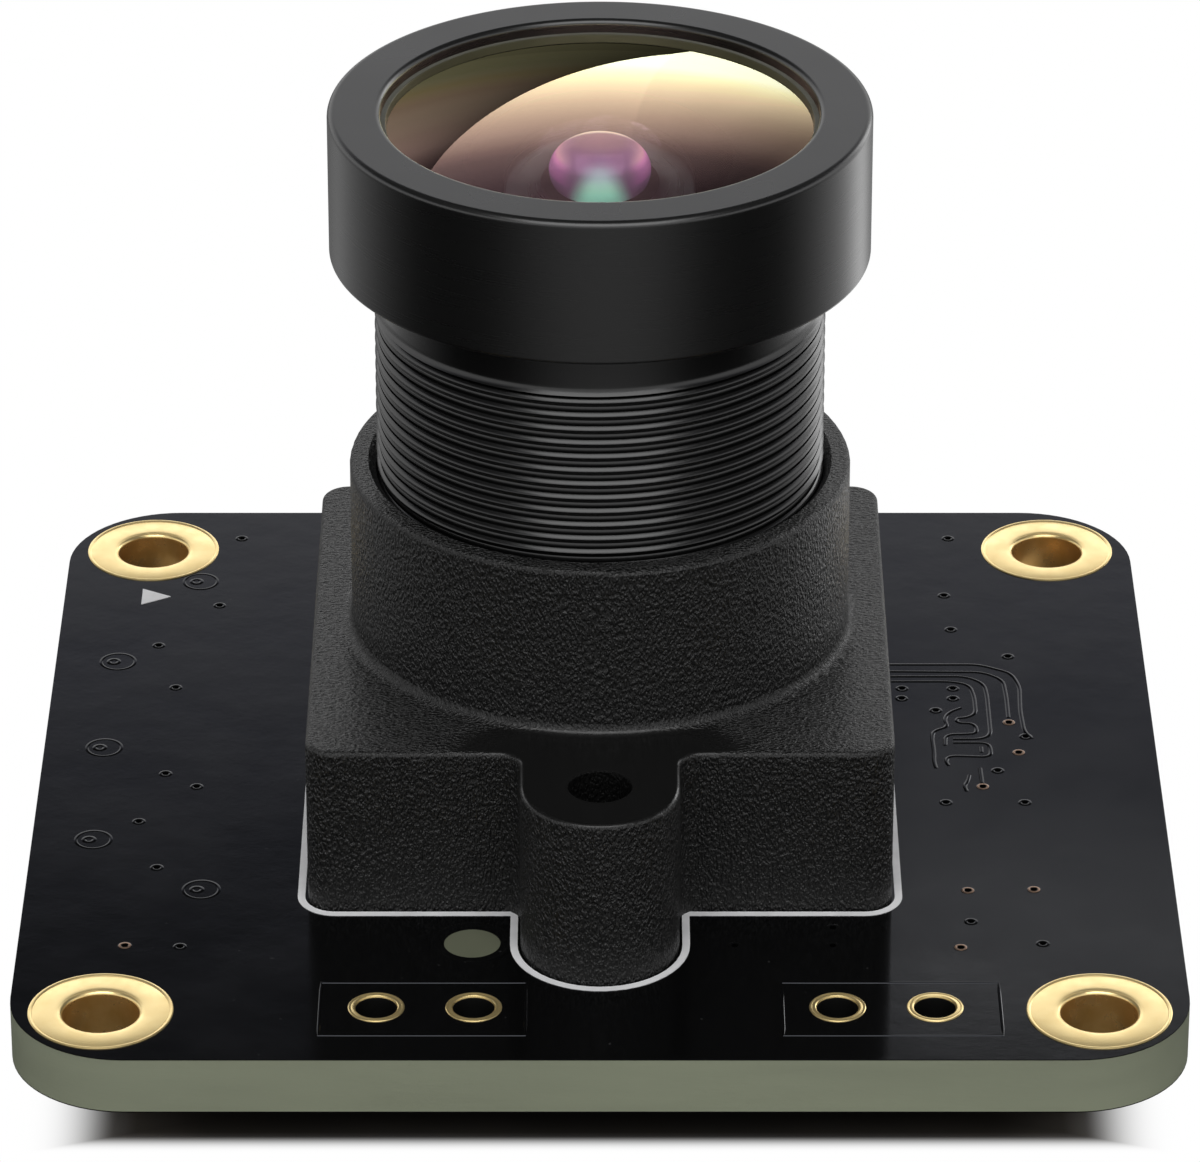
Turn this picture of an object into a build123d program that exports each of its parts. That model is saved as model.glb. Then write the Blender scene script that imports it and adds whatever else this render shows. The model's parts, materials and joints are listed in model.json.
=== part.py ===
"""Board camera: a square circuit board that carries a moulded holder with a screw-in lens.

Millimetres. +Z runs up the optical axis, out of the lens. The origin is the centre of the four
mounting holes, on the underside of the board. The photograph's front edge of the board is at -Y.
"""

import os
from math import floor, sqrt

from build123d import *

# Circuit board
MOUNT_SPACING = 26.0
MOUNT_EDGE_DISTANCE = 2.4
BOARD_THICKNESS = 1.6
BOARD_CORNER_RADIUS = 3.1
FIDUCIAL_DIAMETER = 1.5
FIDUCIAL_DEPTH = 0.04
FIDUCIAL_PLACE = (-3.35, -9.45)

# Plated holes: a sleeve through the board with a flange on each face
PLATING_WALL = 0.1
PLATING_PROUD = 0.1
MOUNT_BORE_DIAMETER = 2.0
MOUNT_RING_DIAMETER = 3.8
MOUNT_MOUTH_ROUND = 0.2
MOUNT_EDGE_ROUND = 0.07
HEADER_PITCH = 2.54
HEADER_BORE_DIAMETER = 1.0
HEADER_RING_DIAMETER = 1.42
HEADER_PROUD = 0.04
HEADER_EDGE_DISTANCE = 2.6
HEADER_PAIR_CENTRES = (-4.56, 7.46)

# Printed outline and mark
PRINT_LINE_WIDTH = 0.2
PRINT_THICKNESS = 0.02
PRINT_GAP = 0.08
PRINT_MARK_SIZE = 1.1
PRINT_MARK_PLACE = (-12.9, 10.1)

# Lens thread and holder
THREAD_DIAMETER = 12.0
THREAD_PITCH = 0.4
THREAD_DEPTH = 0.22
THREAD_CREST_WIDTH = 0.08
THREAD_CLEARANCE = 0.05
TOWER_WALL = 0.7
TOWER_MOUTH_CHAMFER = 0.2
HOLDER_LEDGE = 1.05
HOLDER_BODY_HEIGHT = 4.8
HOLDER_HEIGHT = 9.65
HOLDER_CORNER_RADIUS = 0.75
HOLDER_EDGE_ROUND = 0.15
TOWER_ROOT_ROUND = 0.3
HOLDER_WALL = 1.6
SHELF_THICKNESS = 1.2
SHELF_WINDOW = 7.0
LUG_REACH = 1.8
LUG_WIDTH = 4.2
LUG_ROOT_RADIUS = 0.3

# Screws that hold the holder from below
SCREW_PILOT_DIAMETER = 1.7
SCREW_FIT = 0.01
SCREW_LENGTH = 5.0
SCREW_TIP_CHAMFER = 0.3
SCREW_HEAD_DIAMETER = 3.5
SCREW_HEAD_HEIGHT = 1.3
SCREW_HEAD_ROUND = 0.5
SCREW_BOARD_HOLE = 2.2
SCREW_SLOT_LENGTH = 2.0
SCREW_SLOT_WIDTH = 0.4
SCREW_SLOT_DEPTH = 0.7
SCREW_SLOT_TAPER = 10.0

# Infrared filter and image sensor
FILTER_SEAT = 0.7
FILTER_THICKNESS = 0.3
FILTER_GAP = 0.6
SENSOR_RIM = 1.5
SENSOR_HEIGHT = 1.2
SENSOR_CHAMFER = 0.5
SENSOR_WELL_DEPTH = 0.7
SENSOR_WELL_MARGIN = 0.6
DIE_LENGTH = 5.8
DIE_WIDTH = 4.4
DIE_THICKNESS = 0.3
SENSOR_GLASS_SEAT = 0.8
SENSOR_GLASS_THICKNESS = 0.5

# Lens barrel and front cap: heights above the board, then the walls from outside in
THREAD_TOP_HEIGHT = 14.5
NECK_HEIGHT = 1.47
HEAD_HEIGHT = 3.93
HEAD_OVERHANG = 1.2
HEAD_CHAMFER = 0.2
HEAD_BOTTOM_CHAMFER = 0.1
CAP_WALL = 0.48
CAP_LIP = 0.6
CAP_LIP_GRIP = 0.35
CAP_MOUTH_FLARE = 0.2
CAP_MOUTH_CHAMFER = 0.1
CAP_FIT = 0.02
FLANGE_WALL = 0.73
FLANGE_FLOOR = 0.62
FLANGE_TOP_GAP = 0.2
BARREL_WALL = 1.18
BARREL_REAR_LIP = 0.8
BARREL_REAR_GRIP = 1.0
BARREL_REAR_CHAMFER = 0.3

# Glasses and rings, stacked in the barrel from its rear lip to the front glass
GLASS_CLEARANCE = 0.02
STACK_CLEARANCE = 0.01
REAR_GLASS_EDGE = 2.2
REAR_GLASS_DOME_RADIUS = 7.0
REAR_SPACER_HEIGHT = 2.0
REAR_SPACER_WALL = 1.2
MIDDLE_GLASS_EDGE = 2.0
MIDDLE_GLASS_DOME_RADIUS = 9.0
MIDDLE_SPACER_HEIGHT = 1.6
MIDDLE_SPACER_WALL = 1.4
STOP_THICKNESS = 0.2
STOP_OPENING = 2.2
SECOND_GLASS_EDGE = 1.0
SECOND_GLASS_BALL_RADIUS = 1.6
SECOND_GLASS_RISE = 0.8
FRONT_SPACER_HEIGHT = 0.88
FRONT_SPACER_LOWER_WALL = 2.5
FRONT_SPACER_UPPER_WALL = 0.3
FRONT_GLASS_DOME_RADIUS = 22.0
FRONT_GLASS_HOLLOW_RADIUS = 5.0
FRONT_GLASS_CENTRE_THICKNESS = 1.1

# Chips with bent leads on the underside
LEAD_THICKNESS = 0.15
LEAD_FOOT = 0.45
LEAD_SHOULDER = 0.25
PROCESSOR_WIDTH = 7.0
PROCESSOR_HEIGHT = 1.2
PROCESSOR_PITCH = 0.5
PROCESSOR_PINS = 12
PROCESSOR_LEAD_WIDTH = 0.22
MEMORY_LENGTH = 4.9
MEMORY_WIDTH = 3.9
MEMORY_HEIGHT = 1.4
MEMORY_PITCH = 1.27
MEMORY_PINS = 4
MEMORY_LEAD_WIDTH = 0.42
MEMORY_GAP = 1.05
REGULATOR_LENGTH = 2.9
REGULATOR_WIDTH = 1.6
REGULATOR_HEIGHT = 1.1
REGULATOR_PITCH = 0.95
REGULATOR_PINS = 3
REGULATOR_LEAD_WIDTH = 0.4
REGULATOR_PLACES = ((5.6, 9.0), (5.6, -8.2))
CHIP_STANDOFF = 0.1
CHIP_EDGE_CHAMFER = 0.12
CHIP_DIMPLE_DIAMETER = 0.7
CHIP_DIMPLE_DEPTH = 0.08
CHIP_DIMPLE_INSET = 0.9

# Power inductors, crystal, chip capacitors and resistors
INDUCTOR_WIDTH = 4.0
INDUCTOR_CORNER_CHAMFER = 0.5
INDUCTOR_CORE_DIAMETER = 3.0
INDUCTOR_GROOVE_WIDTH = 0.25
INDUCTOR_GROOVE_DEPTH = 0.3
INDUCTOR_EDGE_GAP = 1.8
INDUCTOR_SPACING = 14.4
TERMINAL_LENGTH = 0.9
TERMINAL_HEIGHT = 0.3
CRYSTAL_LENGTH = 3.2
CRYSTAL_WIDTH = 2.5
CRYSTAL_BASE_HEIGHT = 0.4
CRYSTAL_LID_INSET = 0.2
CRYSTAL_LID_HEIGHT = 0.35
CRYSTAL_LID_ROUND = 0.3
CRYSTAL_PLACE = (-4.6, -8.0)
CAPACITOR_SIZE = (1.6, 0.8, 0.8)
RESISTOR_SIZE = (1.0, 0.5, 0.35)
CAPACITOR_END_CAP = 0.35
RESISTOR_END_CAP = 0.22
CAPACITOR_PLACES = (
    (-7.2, 5.6), (-7.2, 4.2), (-7.2, -4.6), (3.4, 6.2), (1.0, 6.2),
    (11.9, 3.4), (11.9, -3.4), (8.6, 4.6), (8.6, -4.6), (-5.6, 8.6),
)
RESISTOR_PLACES = (
    (-7.2, 2.6), (-7.2, 1.4), (-7.2, 0.2), (-7.2, -1.0), (-7.2, -2.2),
    (-3.0, 6.0), (-4.6, 6.0), (2.2, -6.2), (3.8, -6.2), (-3.0, 8.8), (-3.0, 10.2),
)

# Cable connector at the left edge of the underside, its mouth facing out
CONNECTOR_PINS = 4
CONNECTOR_PITCH = 1.25
CONNECTOR_END_MARGIN = 1.55
CONNECTOR_DEPTH = 4.6
CONNECTOR_HEIGHT = 3.0
CONNECTOR_WALL = 0.45
CONNECTOR_BACK_WALL = 0.8
CONNECTOR_OVERHANG = 0.2
CONNECTOR_KEY_WIDTH = 0.7
CONNECTOR_KEY_LENGTH = 2.2
CONNECTOR_CONTACT_HEIGHT = 1.5
CONTACT_THICKNESS = 0.35
CONTACT_MARGIN = 0.6
CONTACT_TAIL = 1.1
CONTACT_FIT = 0.01
TAB_WIDTH = 0.9
TAB_LENGTH = 2.4
TAB_HEIGHT = 1.0
TAB_THICKNESS = 0.25

# Sizes worked out from the ones above
BOARD_WIDTH = MOUNT_SPACING + 2 * MOUNT_EDGE_DISTANCE
BORE_DIAMETER = THREAD_DIAMETER + 2 * THREAD_CLEARANCE
TOWER_DIAMETER = BORE_DIAMETER + 2 * TOWER_WALL
HOLDER_WIDTH = TOWER_DIAMETER + 2 * HOLDER_LEDGE
LUG_SPACING = HOLDER_WIDTH + 2 * LUG_REACH
LUG_HOLE_PLACES = ((0, -LUG_SPACING / 2), (0, LUG_SPACING / 2))
SENSOR_WELL = max(DIE_LENGTH, DIE_WIDTH) + 2 * SENSOR_WELL_MARGIN
SENSOR_WIDTH = SENSOR_WELL + 2 * SENSOR_RIM
SENSOR_GLASS_WIDTH = SENSOR_WELL + 2 * SENSOR_GLASS_SEAT
FILTER_WIDTH = SHELF_WINDOW + 2 * FILTER_SEAT
CAVITY_WIDTH = HOLDER_WIDTH - 2 * HOLDER_WALL
CAVITY_HEIGHT = SENSOR_HEIGHT + SENSOR_GLASS_THICKNESS + FILTER_GAP + FILTER_THICKNESS
SHELF_BOTTOM = BOARD_THICKNESS + CAVITY_HEIGHT
SHELF_TOP = SHELF_BOTTOM + SHELF_THICKNESS
THREAD_TOP = BOARD_THICKNESS + THREAD_TOP_HEIGHT
HEAD_BOTTOM = THREAD_TOP + NECK_HEIGHT
HEAD_TOP = HEAD_BOTTOM + HEAD_HEIGHT
HEAD_DIAMETER = THREAD_DIAMETER + 2 * HEAD_OVERHANG
FLANGE_DIAMETER = HEAD_DIAMETER - 2 * (CAP_WALL + CAP_FIT)
FRONT_POCKET_DIAMETER = FLANGE_DIAMETER - 2 * FLANGE_WALL
FRONT_GLASS_DIAMETER = FRONT_POCKET_DIAMETER - 2 * GLASS_CLEARANCE
CAP_LIP_OPENING = FRONT_GLASS_DIAMETER - 2 * CAP_LIP_GRIP
CAP_TOP_OPENING = CAP_LIP_OPENING + 2 * CAP_MOUTH_FLARE
LIP_BOTTOM = HEAD_TOP - CAP_LIP
FLANGE_TOP = LIP_BOTTOM - FLANGE_TOP_GAP
FRONT_GLASS_SEAT = HEAD_BOTTOM + FLANGE_FLOOR
FRONT_GLASS_TOP = LIP_BOTTOM - STACK_CLEARANCE
STACK_BORE_DIAMETER = THREAD_DIAMETER - 2 * (THREAD_DEPTH + BARREL_WALL)
STACK_DIAMETER = STACK_BORE_DIAMETER - 2 * GLASS_CLEARANCE
FRONT_SPACER_SEAT = FRONT_GLASS_SEAT - STACK_CLEARANCE - FRONT_SPACER_HEIGHT
SECOND_GLASS_SEAT = FRONT_SPACER_SEAT - SECOND_GLASS_EDGE
STOP_SEAT = SECOND_GLASS_SEAT - STOP_THICKNESS
MIDDLE_SPACER_SEAT = STOP_SEAT - MIDDLE_SPACER_HEIGHT
MIDDLE_GLASS_SEAT = MIDDLE_SPACER_SEAT - MIDDLE_GLASS_EDGE
REAR_SPACER_SEAT = MIDDLE_GLASS_SEAT - REAR_SPACER_HEIGHT
REAR_GLASS_SEAT = REAR_SPACER_SEAT - REAR_GLASS_EDGE
BARREL_REAR = REAR_GLASS_SEAT - BARREL_REAR_LIP
BARREL_REAR_OPENING = STACK_BORE_DIAMETER - 2 * BARREL_REAR_GRIP
LEAD_REACH = LEAD_SHOULDER + LEAD_FOOT
MEMORY_PLACE = (PROCESSOR_WIDTH / 2 + 2 * LEAD_REACH + MEMORY_GAP + MEMORY_WIDTH / 2, 0.0)
INDUCTOR_HEIGHT = CONNECTOR_HEIGHT
INDUCTOR_X = BOARD_WIDTH / 2 - INDUCTOR_EDGE_GAP - INDUCTOR_WIDTH / 2
INDUCTOR_PLACES = ((INDUCTOR_X, INDUCTOR_SPACING / 2), (INDUCTOR_X, -INDUCTOR_SPACING / 2))

os.makedirs("parts", exist_ok=True)


def keep(piece, name):
    """Label a finished piece and write it as its own file."""
    piece.part.label = name
    export_step(piece.part, f"parts/{name}.step")


def sagitta(radius, half_chord):
    """How far an arc of this radius rises over a chord."""
    return radius - sqrt(radius**2 - half_chord**2)


def header_places():
    y = -BOARD_WIDTH / 2 + HEADER_EDGE_DISTANCE
    return [(x + side * HEADER_PITCH / 2, y) for x in HEADER_PAIR_CENTRES for side in (-1, 1)]


def mount_places():
    half = MOUNT_SPACING / 2
    return {
        "front_left": (-half, -half),
        "front_right": (half, -half),
        "rear_left": (-half, half),
        "rear_right": (half, half),
    }


def plated_hole(place, bore, ring, proud, mouth_round, edge_round):
    """A plated sleeve through the board, with a rounded flange on each face."""
    x, y = place
    with BuildPart(Plane(origin=(x, y, -proud))) as sleeve:
        Cylinder(
            ring / 2,
            BOARD_THICKNESS + 2 * proud,
            align=(Align.CENTER, Align.CENTER, Align.MIN),
        )
        with BuildSketch(Plane(origin=(x, y, 0))):
            Circle(ring)
            Circle(bore / 2 + PLATING_WALL, mode=Mode.SUBTRACT)
        extrude(amount=BOARD_THICKNESS, mode=Mode.SUBTRACT)
        Hole(bore / 2)
        faces = sleeve.faces().filter_by(GeomType.PLANE).sort_by(Axis.Z)
        rims = (faces[0].edges() + faces[-1].edges()).sort_by(SortBy.RADIUS)
        fillet(rims[:2], mouth_round)
        fillet(rims[2:], edge_round)
    return sleeve


def holder_outline(grow=0.0):
    """Footprint of the holder: a rounded square with a round-ended lug front and rear."""
    near = 0.01
    with BuildSketch() as outline:
        Rectangle(HOLDER_WIDTH, HOLDER_WIDTH)
        Rectangle(LUG_WIDTH, LUG_SPACING)
        corners = outline.vertices()
        outer = corners.filter_by(lambda v: abs(v.X) > HOLDER_WIDTH / 2 - near)
        roots = corners.filter_by(
            lambda v: abs(v.X) < HOLDER_WIDTH / 2 - near and abs(v.Y) < HOLDER_WIDTH / 2 + near
        )
        fillet(outer, HOLDER_CORNER_RADIUS)
        fillet(roots, LUG_ROOT_RADIUS)
        with Locations(*LUG_HOLE_PLACES):
            Circle(LUG_WIDTH / 2)
        if grow:
            offset(amount=grow)
    return outline


def build_board():
    with BuildPart() as circuit_board:
        with BuildSketch():
            RectangleRounded(BOARD_WIDTH, BOARD_WIDTH, BOARD_CORNER_RADIUS)
            with GridLocations(MOUNT_SPACING, MOUNT_SPACING, 2, 2):
                Circle(MOUNT_BORE_DIAMETER / 2 + PLATING_WALL, mode=Mode.SUBTRACT)
            with Locations(*header_places()):
                Circle(HEADER_BORE_DIAMETER / 2 + PLATING_WALL, mode=Mode.SUBTRACT)
            with Locations(*LUG_HOLE_PLACES):
                Circle(SCREW_BOARD_HOLE / 2, mode=Mode.SUBTRACT)
        extrude(amount=BOARD_THICKNESS)
        with BuildSketch(Plane.XY.offset(BOARD_THICKNESS)):
            with Locations(FIDUCIAL_PLACE):
                Circle(FIDUCIAL_DIAMETER / 2)
        extrude(amount=-FIDUCIAL_DEPTH, mode=Mode.SUBTRACT)
    keep(circuit_board, "circuit_board")


def build_plated_holes():
    for name, place in mount_places().items():
        ring = plated_hole(
            place,
            MOUNT_BORE_DIAMETER,
            MOUNT_RING_DIAMETER,
            PLATING_PROUD,
            MOUNT_MOUTH_ROUND,
            MOUNT_EDGE_ROUND,
        )
        keep(ring, f"mounting_ring_{name}")
    for number, place in enumerate(header_places(), start=1):
        ring = plated_hole(
            place,
            HEADER_BORE_DIAMETER,
            HEADER_RING_DIAMETER,
            HEADER_PROUD,
            HEADER_PROUD,
            HEADER_PROUD / 2,
        )
        keep(ring, f"solder_ring_{number}")


def build_print():
    """White outline round the holder's foot, and a plain triangle."""
    inner = holder_outline(PRINT_GAP)
    outer = holder_outline(PRINT_GAP + PRINT_LINE_WIDTH)
    with BuildPart() as board_print:
        with BuildSketch(Plane.XY.offset(BOARD_THICKNESS)):
            add(outer.sketch)
            add(inner.sketch, mode=Mode.SUBTRACT)
            with Locations(PRINT_MARK_PLACE):
                RegularPolygon(PRINT_MARK_SIZE / 2, 3)
        extrude(amount=PRINT_THICKNESS)
    keep(board_print, "board_print")


def build_holder():
    top = BOARD_THICKNESS + HOLDER_HEIGHT
    ledge = BOARD_THICKNESS + HOLDER_BODY_HEIGHT
    with BuildPart() as lens_holder:
        with BuildSketch(Plane.XY.offset(BOARD_THICKNESS)):
            add(holder_outline().sketch)
        extrude(amount=HOLDER_BODY_HEIGHT)
        rim = lens_holder.faces().sort_by(Axis.Z)[-1].edges()
        fillet(rim, HOLDER_EDGE_ROUND)
        with BuildSketch(Plane.XY.offset(ledge)):
            Circle(TOWER_DIAMETER / 2)
        extrude(amount=HOLDER_HEIGHT - HOLDER_BODY_HEIGHT)
        tower_edges = lens_holder.edges().filter_by(GeomType.CIRCLE).sort_by(SortBy.RADIUS)[-2:]
        fillet(tower_edges.sort_by(Axis.Z)[-1], HOLDER_EDGE_ROUND)
        fillet(tower_edges.sort_by(Axis.Z)[0], TOWER_ROOT_ROUND)
        with BuildSketch(Plane.XY.offset(BOARD_THICKNESS)):
            Rectangle(CAVITY_WIDTH, CAVITY_WIDTH)
        extrude(amount=CAVITY_HEIGHT, mode=Mode.SUBTRACT)
        with BuildSketch(Plane.XY.offset(SHELF_BOTTOM)):
            Rectangle(SHELF_WINDOW, SHELF_WINDOW)
        extrude(amount=SHELF_THICKNESS, mode=Mode.SUBTRACT)
        with BuildSketch(Plane.XY.offset(SHELF_TOP)):
            Circle(BORE_DIAMETER / 2)
        extrude(amount=top - SHELF_TOP, mode=Mode.SUBTRACT)
        with Locations(*[(x, y, ledge) for x, y in LUG_HOLE_PLACES]):
            Hole(SCREW_PILOT_DIAMETER / 2, HOLDER_BODY_HEIGHT)
        mouth = lens_holder.edges().filter_by(GeomType.CIRCLE).group_by(Axis.Z)[-1]
        chamfer(mouth.sort_by(SortBy.RADIUS)[0], TOWER_MOUTH_CHAMFER)
    keep(lens_holder, "lens_holder")


def build_holder_screws():
    for name, (x, y) in zip(("front", "rear"), LUG_HOLE_PLACES):
        with BuildPart(Plane(origin=(x, y, 0))) as screw:
            Cylinder(
                SCREW_PILOT_DIAMETER / 2 - SCREW_FIT,
                SCREW_LENGTH,
                align=(Align.CENTER, Align.CENTER, Align.MIN),
            )
            chamfer(screw.edges().filter_by(GeomType.CIRCLE).sort_by(Axis.Z)[-1], SCREW_TIP_CHAMFER)
            with BuildSketch(Plane(origin=(x, y, 0))):
                Circle(SCREW_HEAD_DIAMETER / 2)
            extrude(amount=-SCREW_HEAD_HEIGHT)
            head = screw.faces().sort_by(Axis.Z)[0]
            fillet(head.edges(), SCREW_HEAD_ROUND)
            with BuildSketch(Plane(origin=(x, y, -SCREW_HEAD_HEIGHT))):
                Rectangle(SCREW_SLOT_LENGTH, SCREW_SLOT_WIDTH)
                Rectangle(SCREW_SLOT_WIDTH, SCREW_SLOT_LENGTH)
            extrude(amount=SCREW_SLOT_DEPTH, taper=SCREW_SLOT_TAPER, mode=Mode.SUBTRACT)
        keep(screw, f"holder_screw_{name}")


def build_sensor():
    top = BOARD_THICKNESS + SENSOR_HEIGHT
    with BuildPart() as sensor_package:
        with BuildSketch(Plane.XY.offset(BOARD_THICKNESS)) as base:
            Rectangle(SENSOR_WIDTH, SENSOR_WIDTH)
            chamfer(base.vertices().sort_by(Axis.X).sort_by(Axis.Y)[0], SENSOR_CHAMFER)
        extrude(amount=SENSOR_HEIGHT)
        with BuildSketch(Plane.XY.offset(top)):
            Rectangle(SENSOR_WELL, SENSOR_WELL)
        extrude(amount=-SENSOR_WELL_DEPTH, mode=Mode.SUBTRACT)
    keep(sensor_package, "sensor_package")

    with BuildPart() as sensor_die:
        with BuildSketch(Plane.XY.offset(top - SENSOR_WELL_DEPTH)):
            Rectangle(DIE_LENGTH, DIE_WIDTH)
        extrude(amount=DIE_THICKNESS)
    keep(sensor_die, "sensor_die")

    with BuildPart() as sensor_glass:
        with BuildSketch(Plane.XY.offset(top)):
            Rectangle(SENSOR_GLASS_WIDTH, SENSOR_GLASS_WIDTH)
        extrude(amount=SENSOR_GLASS_THICKNESS)
    keep(sensor_glass, "sensor_cover_glass")

    with BuildPart() as infrared_filter:
        with BuildSketch(Plane.XY.offset(SHELF_BOTTOM)):
            Rectangle(FILTER_WIDTH, FILTER_WIDTH)
        extrude(amount=-FILTER_THICKNESS)
    keep(infrared_filter, "infrared_filter")


def thread_profile(low, high):
    """Points up the outside of the thread, crest to crest: a ring groove for each turn."""
    crest = THREAD_DIAMETER / 2
    root = crest - THREAD_DEPTH
    groove = THREAD_PITCH - THREAD_CREST_WIDTH
    turns = floor((high - low) / THREAD_PITCH)
    start = high - turns * THREAD_PITCH
    points = [(crest, low)]
    for turn in range(turns):
        z = start + turn * THREAD_PITCH
        points += [(crest, z), (root, z + groove / 2), (crest, z + groove)]
    return points + [(crest, high)]


def build_barrel():
    """One turned piece: rear lip, stepped bore, outside thread, neck and the flange in the cap."""
    rear_crest = THREAD_DIAMETER / 2 - BARREL_REAR_CHAMFER
    inside = [
        (FRONT_POCKET_DIAMETER / 2, FLANGE_TOP),
        (FRONT_POCKET_DIAMETER / 2, FRONT_GLASS_SEAT),
        (STACK_BORE_DIAMETER / 2, FRONT_GLASS_SEAT),
        (STACK_BORE_DIAMETER / 2, REAR_GLASS_SEAT),
        (BARREL_REAR_OPENING / 2, REAR_GLASS_SEAT),
        (BARREL_REAR_OPENING / 2, BARREL_REAR),
        (rear_crest, BARREL_REAR),
    ]
    thread = thread_profile(BARREL_REAR + BARREL_REAR_CHAMFER, THREAD_TOP)
    outside = [
        (THREAD_DIAMETER / 2, HEAD_BOTTOM),
        (FLANGE_DIAMETER / 2, HEAD_BOTTOM),
        (FLANGE_DIAMETER / 2, FLANGE_TOP),
    ]
    with BuildPart() as lens_barrel:
        with BuildSketch(Plane.XZ):
            with BuildLine():
                Polyline(*inside, *thread, *outside, close=True)
            make_face()
        revolve(axis=Axis.Z)
    keep(lens_barrel, "lens_barrel")


def build_cap():
    """The smooth head: a skirt round the barrel's flange, and a lip that holds the front glass."""
    skirt = HEAD_DIAMETER / 2 - CAP_WALL
    profile = [
        (skirt, HEAD_BOTTOM),
        (HEAD_DIAMETER / 2, HEAD_BOTTOM),
        (HEAD_DIAMETER / 2, HEAD_TOP),
        (CAP_TOP_OPENING / 2, HEAD_TOP),
        (CAP_LIP_OPENING / 2, LIP_BOTTOM),
        (skirt, LIP_BOTTOM),
    ]
    with BuildPart() as front_cap:
        with BuildSketch(Plane.XZ):
            with BuildLine():
                Polyline(*profile, close=True)
            make_face()
        revolve(axis=Axis.Z)
        circles = front_cap.edges().filter_by(GeomType.CIRCLE)
        top_circles = circles.group_by(Axis.Z)[-1].sort_by(SortBy.RADIUS)
        chamfer(top_circles[-1], HEAD_CHAMFER)
        chamfer(top_circles[0], CAP_MOUTH_CHAMFER)
        bottom_circles = front_cap.edges().filter_by(GeomType.CIRCLE).group_by(Axis.Z)[0]
        chamfer(bottom_circles.sort_by(SortBy.RADIUS)[-1], HEAD_BOTTOM_CHAMFER)
    keep(front_cap, "front_cap")


def build_front_glass():
    """Deep meniscus: a shallow dome in front, a steep hollow behind, and a flat edge to hold it."""
    edge = FRONT_GLASS_DIAMETER / 2
    dome = CAP_LIP_OPENING / 2
    top = FRONT_GLASS_TOP
    apex = top + sagitta(FRONT_GLASS_DOME_RADIUS, dome)
    hollow_apex = apex - FRONT_GLASS_CENTRE_THICKNESS
    drop = hollow_apex - FRONT_GLASS_SEAT
    hollow = sqrt(FRONT_GLASS_HOLLOW_RADIUS**2 - (FRONT_GLASS_HOLLOW_RADIUS - drop) ** 2)
    with BuildPart() as front_glass:
        with BuildSketch(Plane.XZ):
            with BuildLine():
                Line((0, hollow_apex), (0, apex))
                RadiusArc((0, apex), (dome, top), FRONT_GLASS_DOME_RADIUS)
                Polyline((dome, top), (edge, top), (edge, FRONT_GLASS_SEAT), (hollow, FRONT_GLASS_SEAT))
                RadiusArc((hollow, FRONT_GLASS_SEAT), (0, hollow_apex), -FRONT_GLASS_HOLLOW_RADIUS)
            make_face()
        revolve(axis=Axis.Z)
    keep(front_glass, "front_glass")


def edge_ring(name, bottom, height, lower_wall, upper_wall):
    """A ring of the stack's diameter, straight or conical inside."""
    outer = STACK_DIAMETER / 2
    low = outer - lower_wall
    high = outer - upper_wall
    with BuildPart() as ring:
        with BuildSketch(Plane.XZ):
            with BuildLine():
                Polyline(
                    (low, bottom),
                    (outer, bottom),
                    (outer, bottom + height),
                    (high, bottom + height),
                    close=True,
                )
            make_face()
        revolve(axis=Axis.Z)
    keep(ring, name)


def convex_glass(name, bottom, edge_height, dome_radius, rim):
    """A flat-backed glass whose dome rises inside the ring above it."""
    outer = STACK_DIAMETER / 2
    top = bottom + edge_height
    dome = outer - rim
    apex = top + sagitta(dome_radius, dome)
    with BuildPart() as glass:
        with BuildSketch(Plane.XZ):
            with BuildLine():
                Polyline((0, apex), (0, bottom), (outer, bottom), (outer, top), (dome, top))
                RadiusArc((dome, top), (0, apex), -dome_radius)
            make_face()
        revolve(axis=Axis.Z)
    keep(glass, name)


def build_second_glass():
    """A moulded glass with a flat rim and a small half ball on a short stem."""
    outer = STACK_DIAMETER / 2
    ball = SECOND_GLASS_BALL_RADIUS
    bottom = SECOND_GLASS_SEAT
    top = bottom + SECOND_GLASS_EDGE
    ball_centre = top + SECOND_GLASS_RISE
    with BuildPart() as glass:
        with BuildSketch(Plane.XZ):
            with BuildLine():
                Polyline(
                    (0, ball_centre + ball),
                    (0, bottom),
                    (outer, bottom),
                    (outer, top),
                    (ball, top),
                    (ball, ball_centre),
                )
                RadiusArc((ball, ball_centre), (0, ball_centre + ball), -ball)
            make_face()
        revolve(axis=Axis.Z)
    keep(glass, "second_glass")


def build_lens_stack():
    """Glasses and rings from the rear lip forward, each resting on the one before."""
    convex_glass(
        "rear_glass", REAR_GLASS_SEAT, REAR_GLASS_EDGE, REAR_GLASS_DOME_RADIUS, REAR_SPACER_WALL
    )
    edge_ring(
        "rear_spacer", REAR_SPACER_SEAT, REAR_SPACER_HEIGHT, REAR_SPACER_WALL, REAR_SPACER_WALL
    )
    convex_glass(
        "middle_glass",
        MIDDLE_GLASS_SEAT,
        MIDDLE_GLASS_EDGE,
        MIDDLE_GLASS_DOME_RADIUS,
        MIDDLE_SPACER_WALL,
    )
    edge_ring(
        "middle_spacer",
        MIDDLE_SPACER_SEAT,
        MIDDLE_SPACER_HEIGHT,
        MIDDLE_SPACER_WALL,
        MIDDLE_SPACER_WALL,
    )
    stop_wall = (STACK_DIAMETER - STOP_OPENING) / 2
    edge_ring("aperture_stop", STOP_SEAT, STOP_THICKNESS, stop_wall, stop_wall)
    build_second_glass()
    edge_ring(
        "front_spacer",
        FRONT_SPACER_SEAT,
        FRONT_SPACER_HEIGHT,
        FRONT_SPACER_LOWER_WALL,
        FRONT_SPACER_UPPER_WALL,
    )


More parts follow.
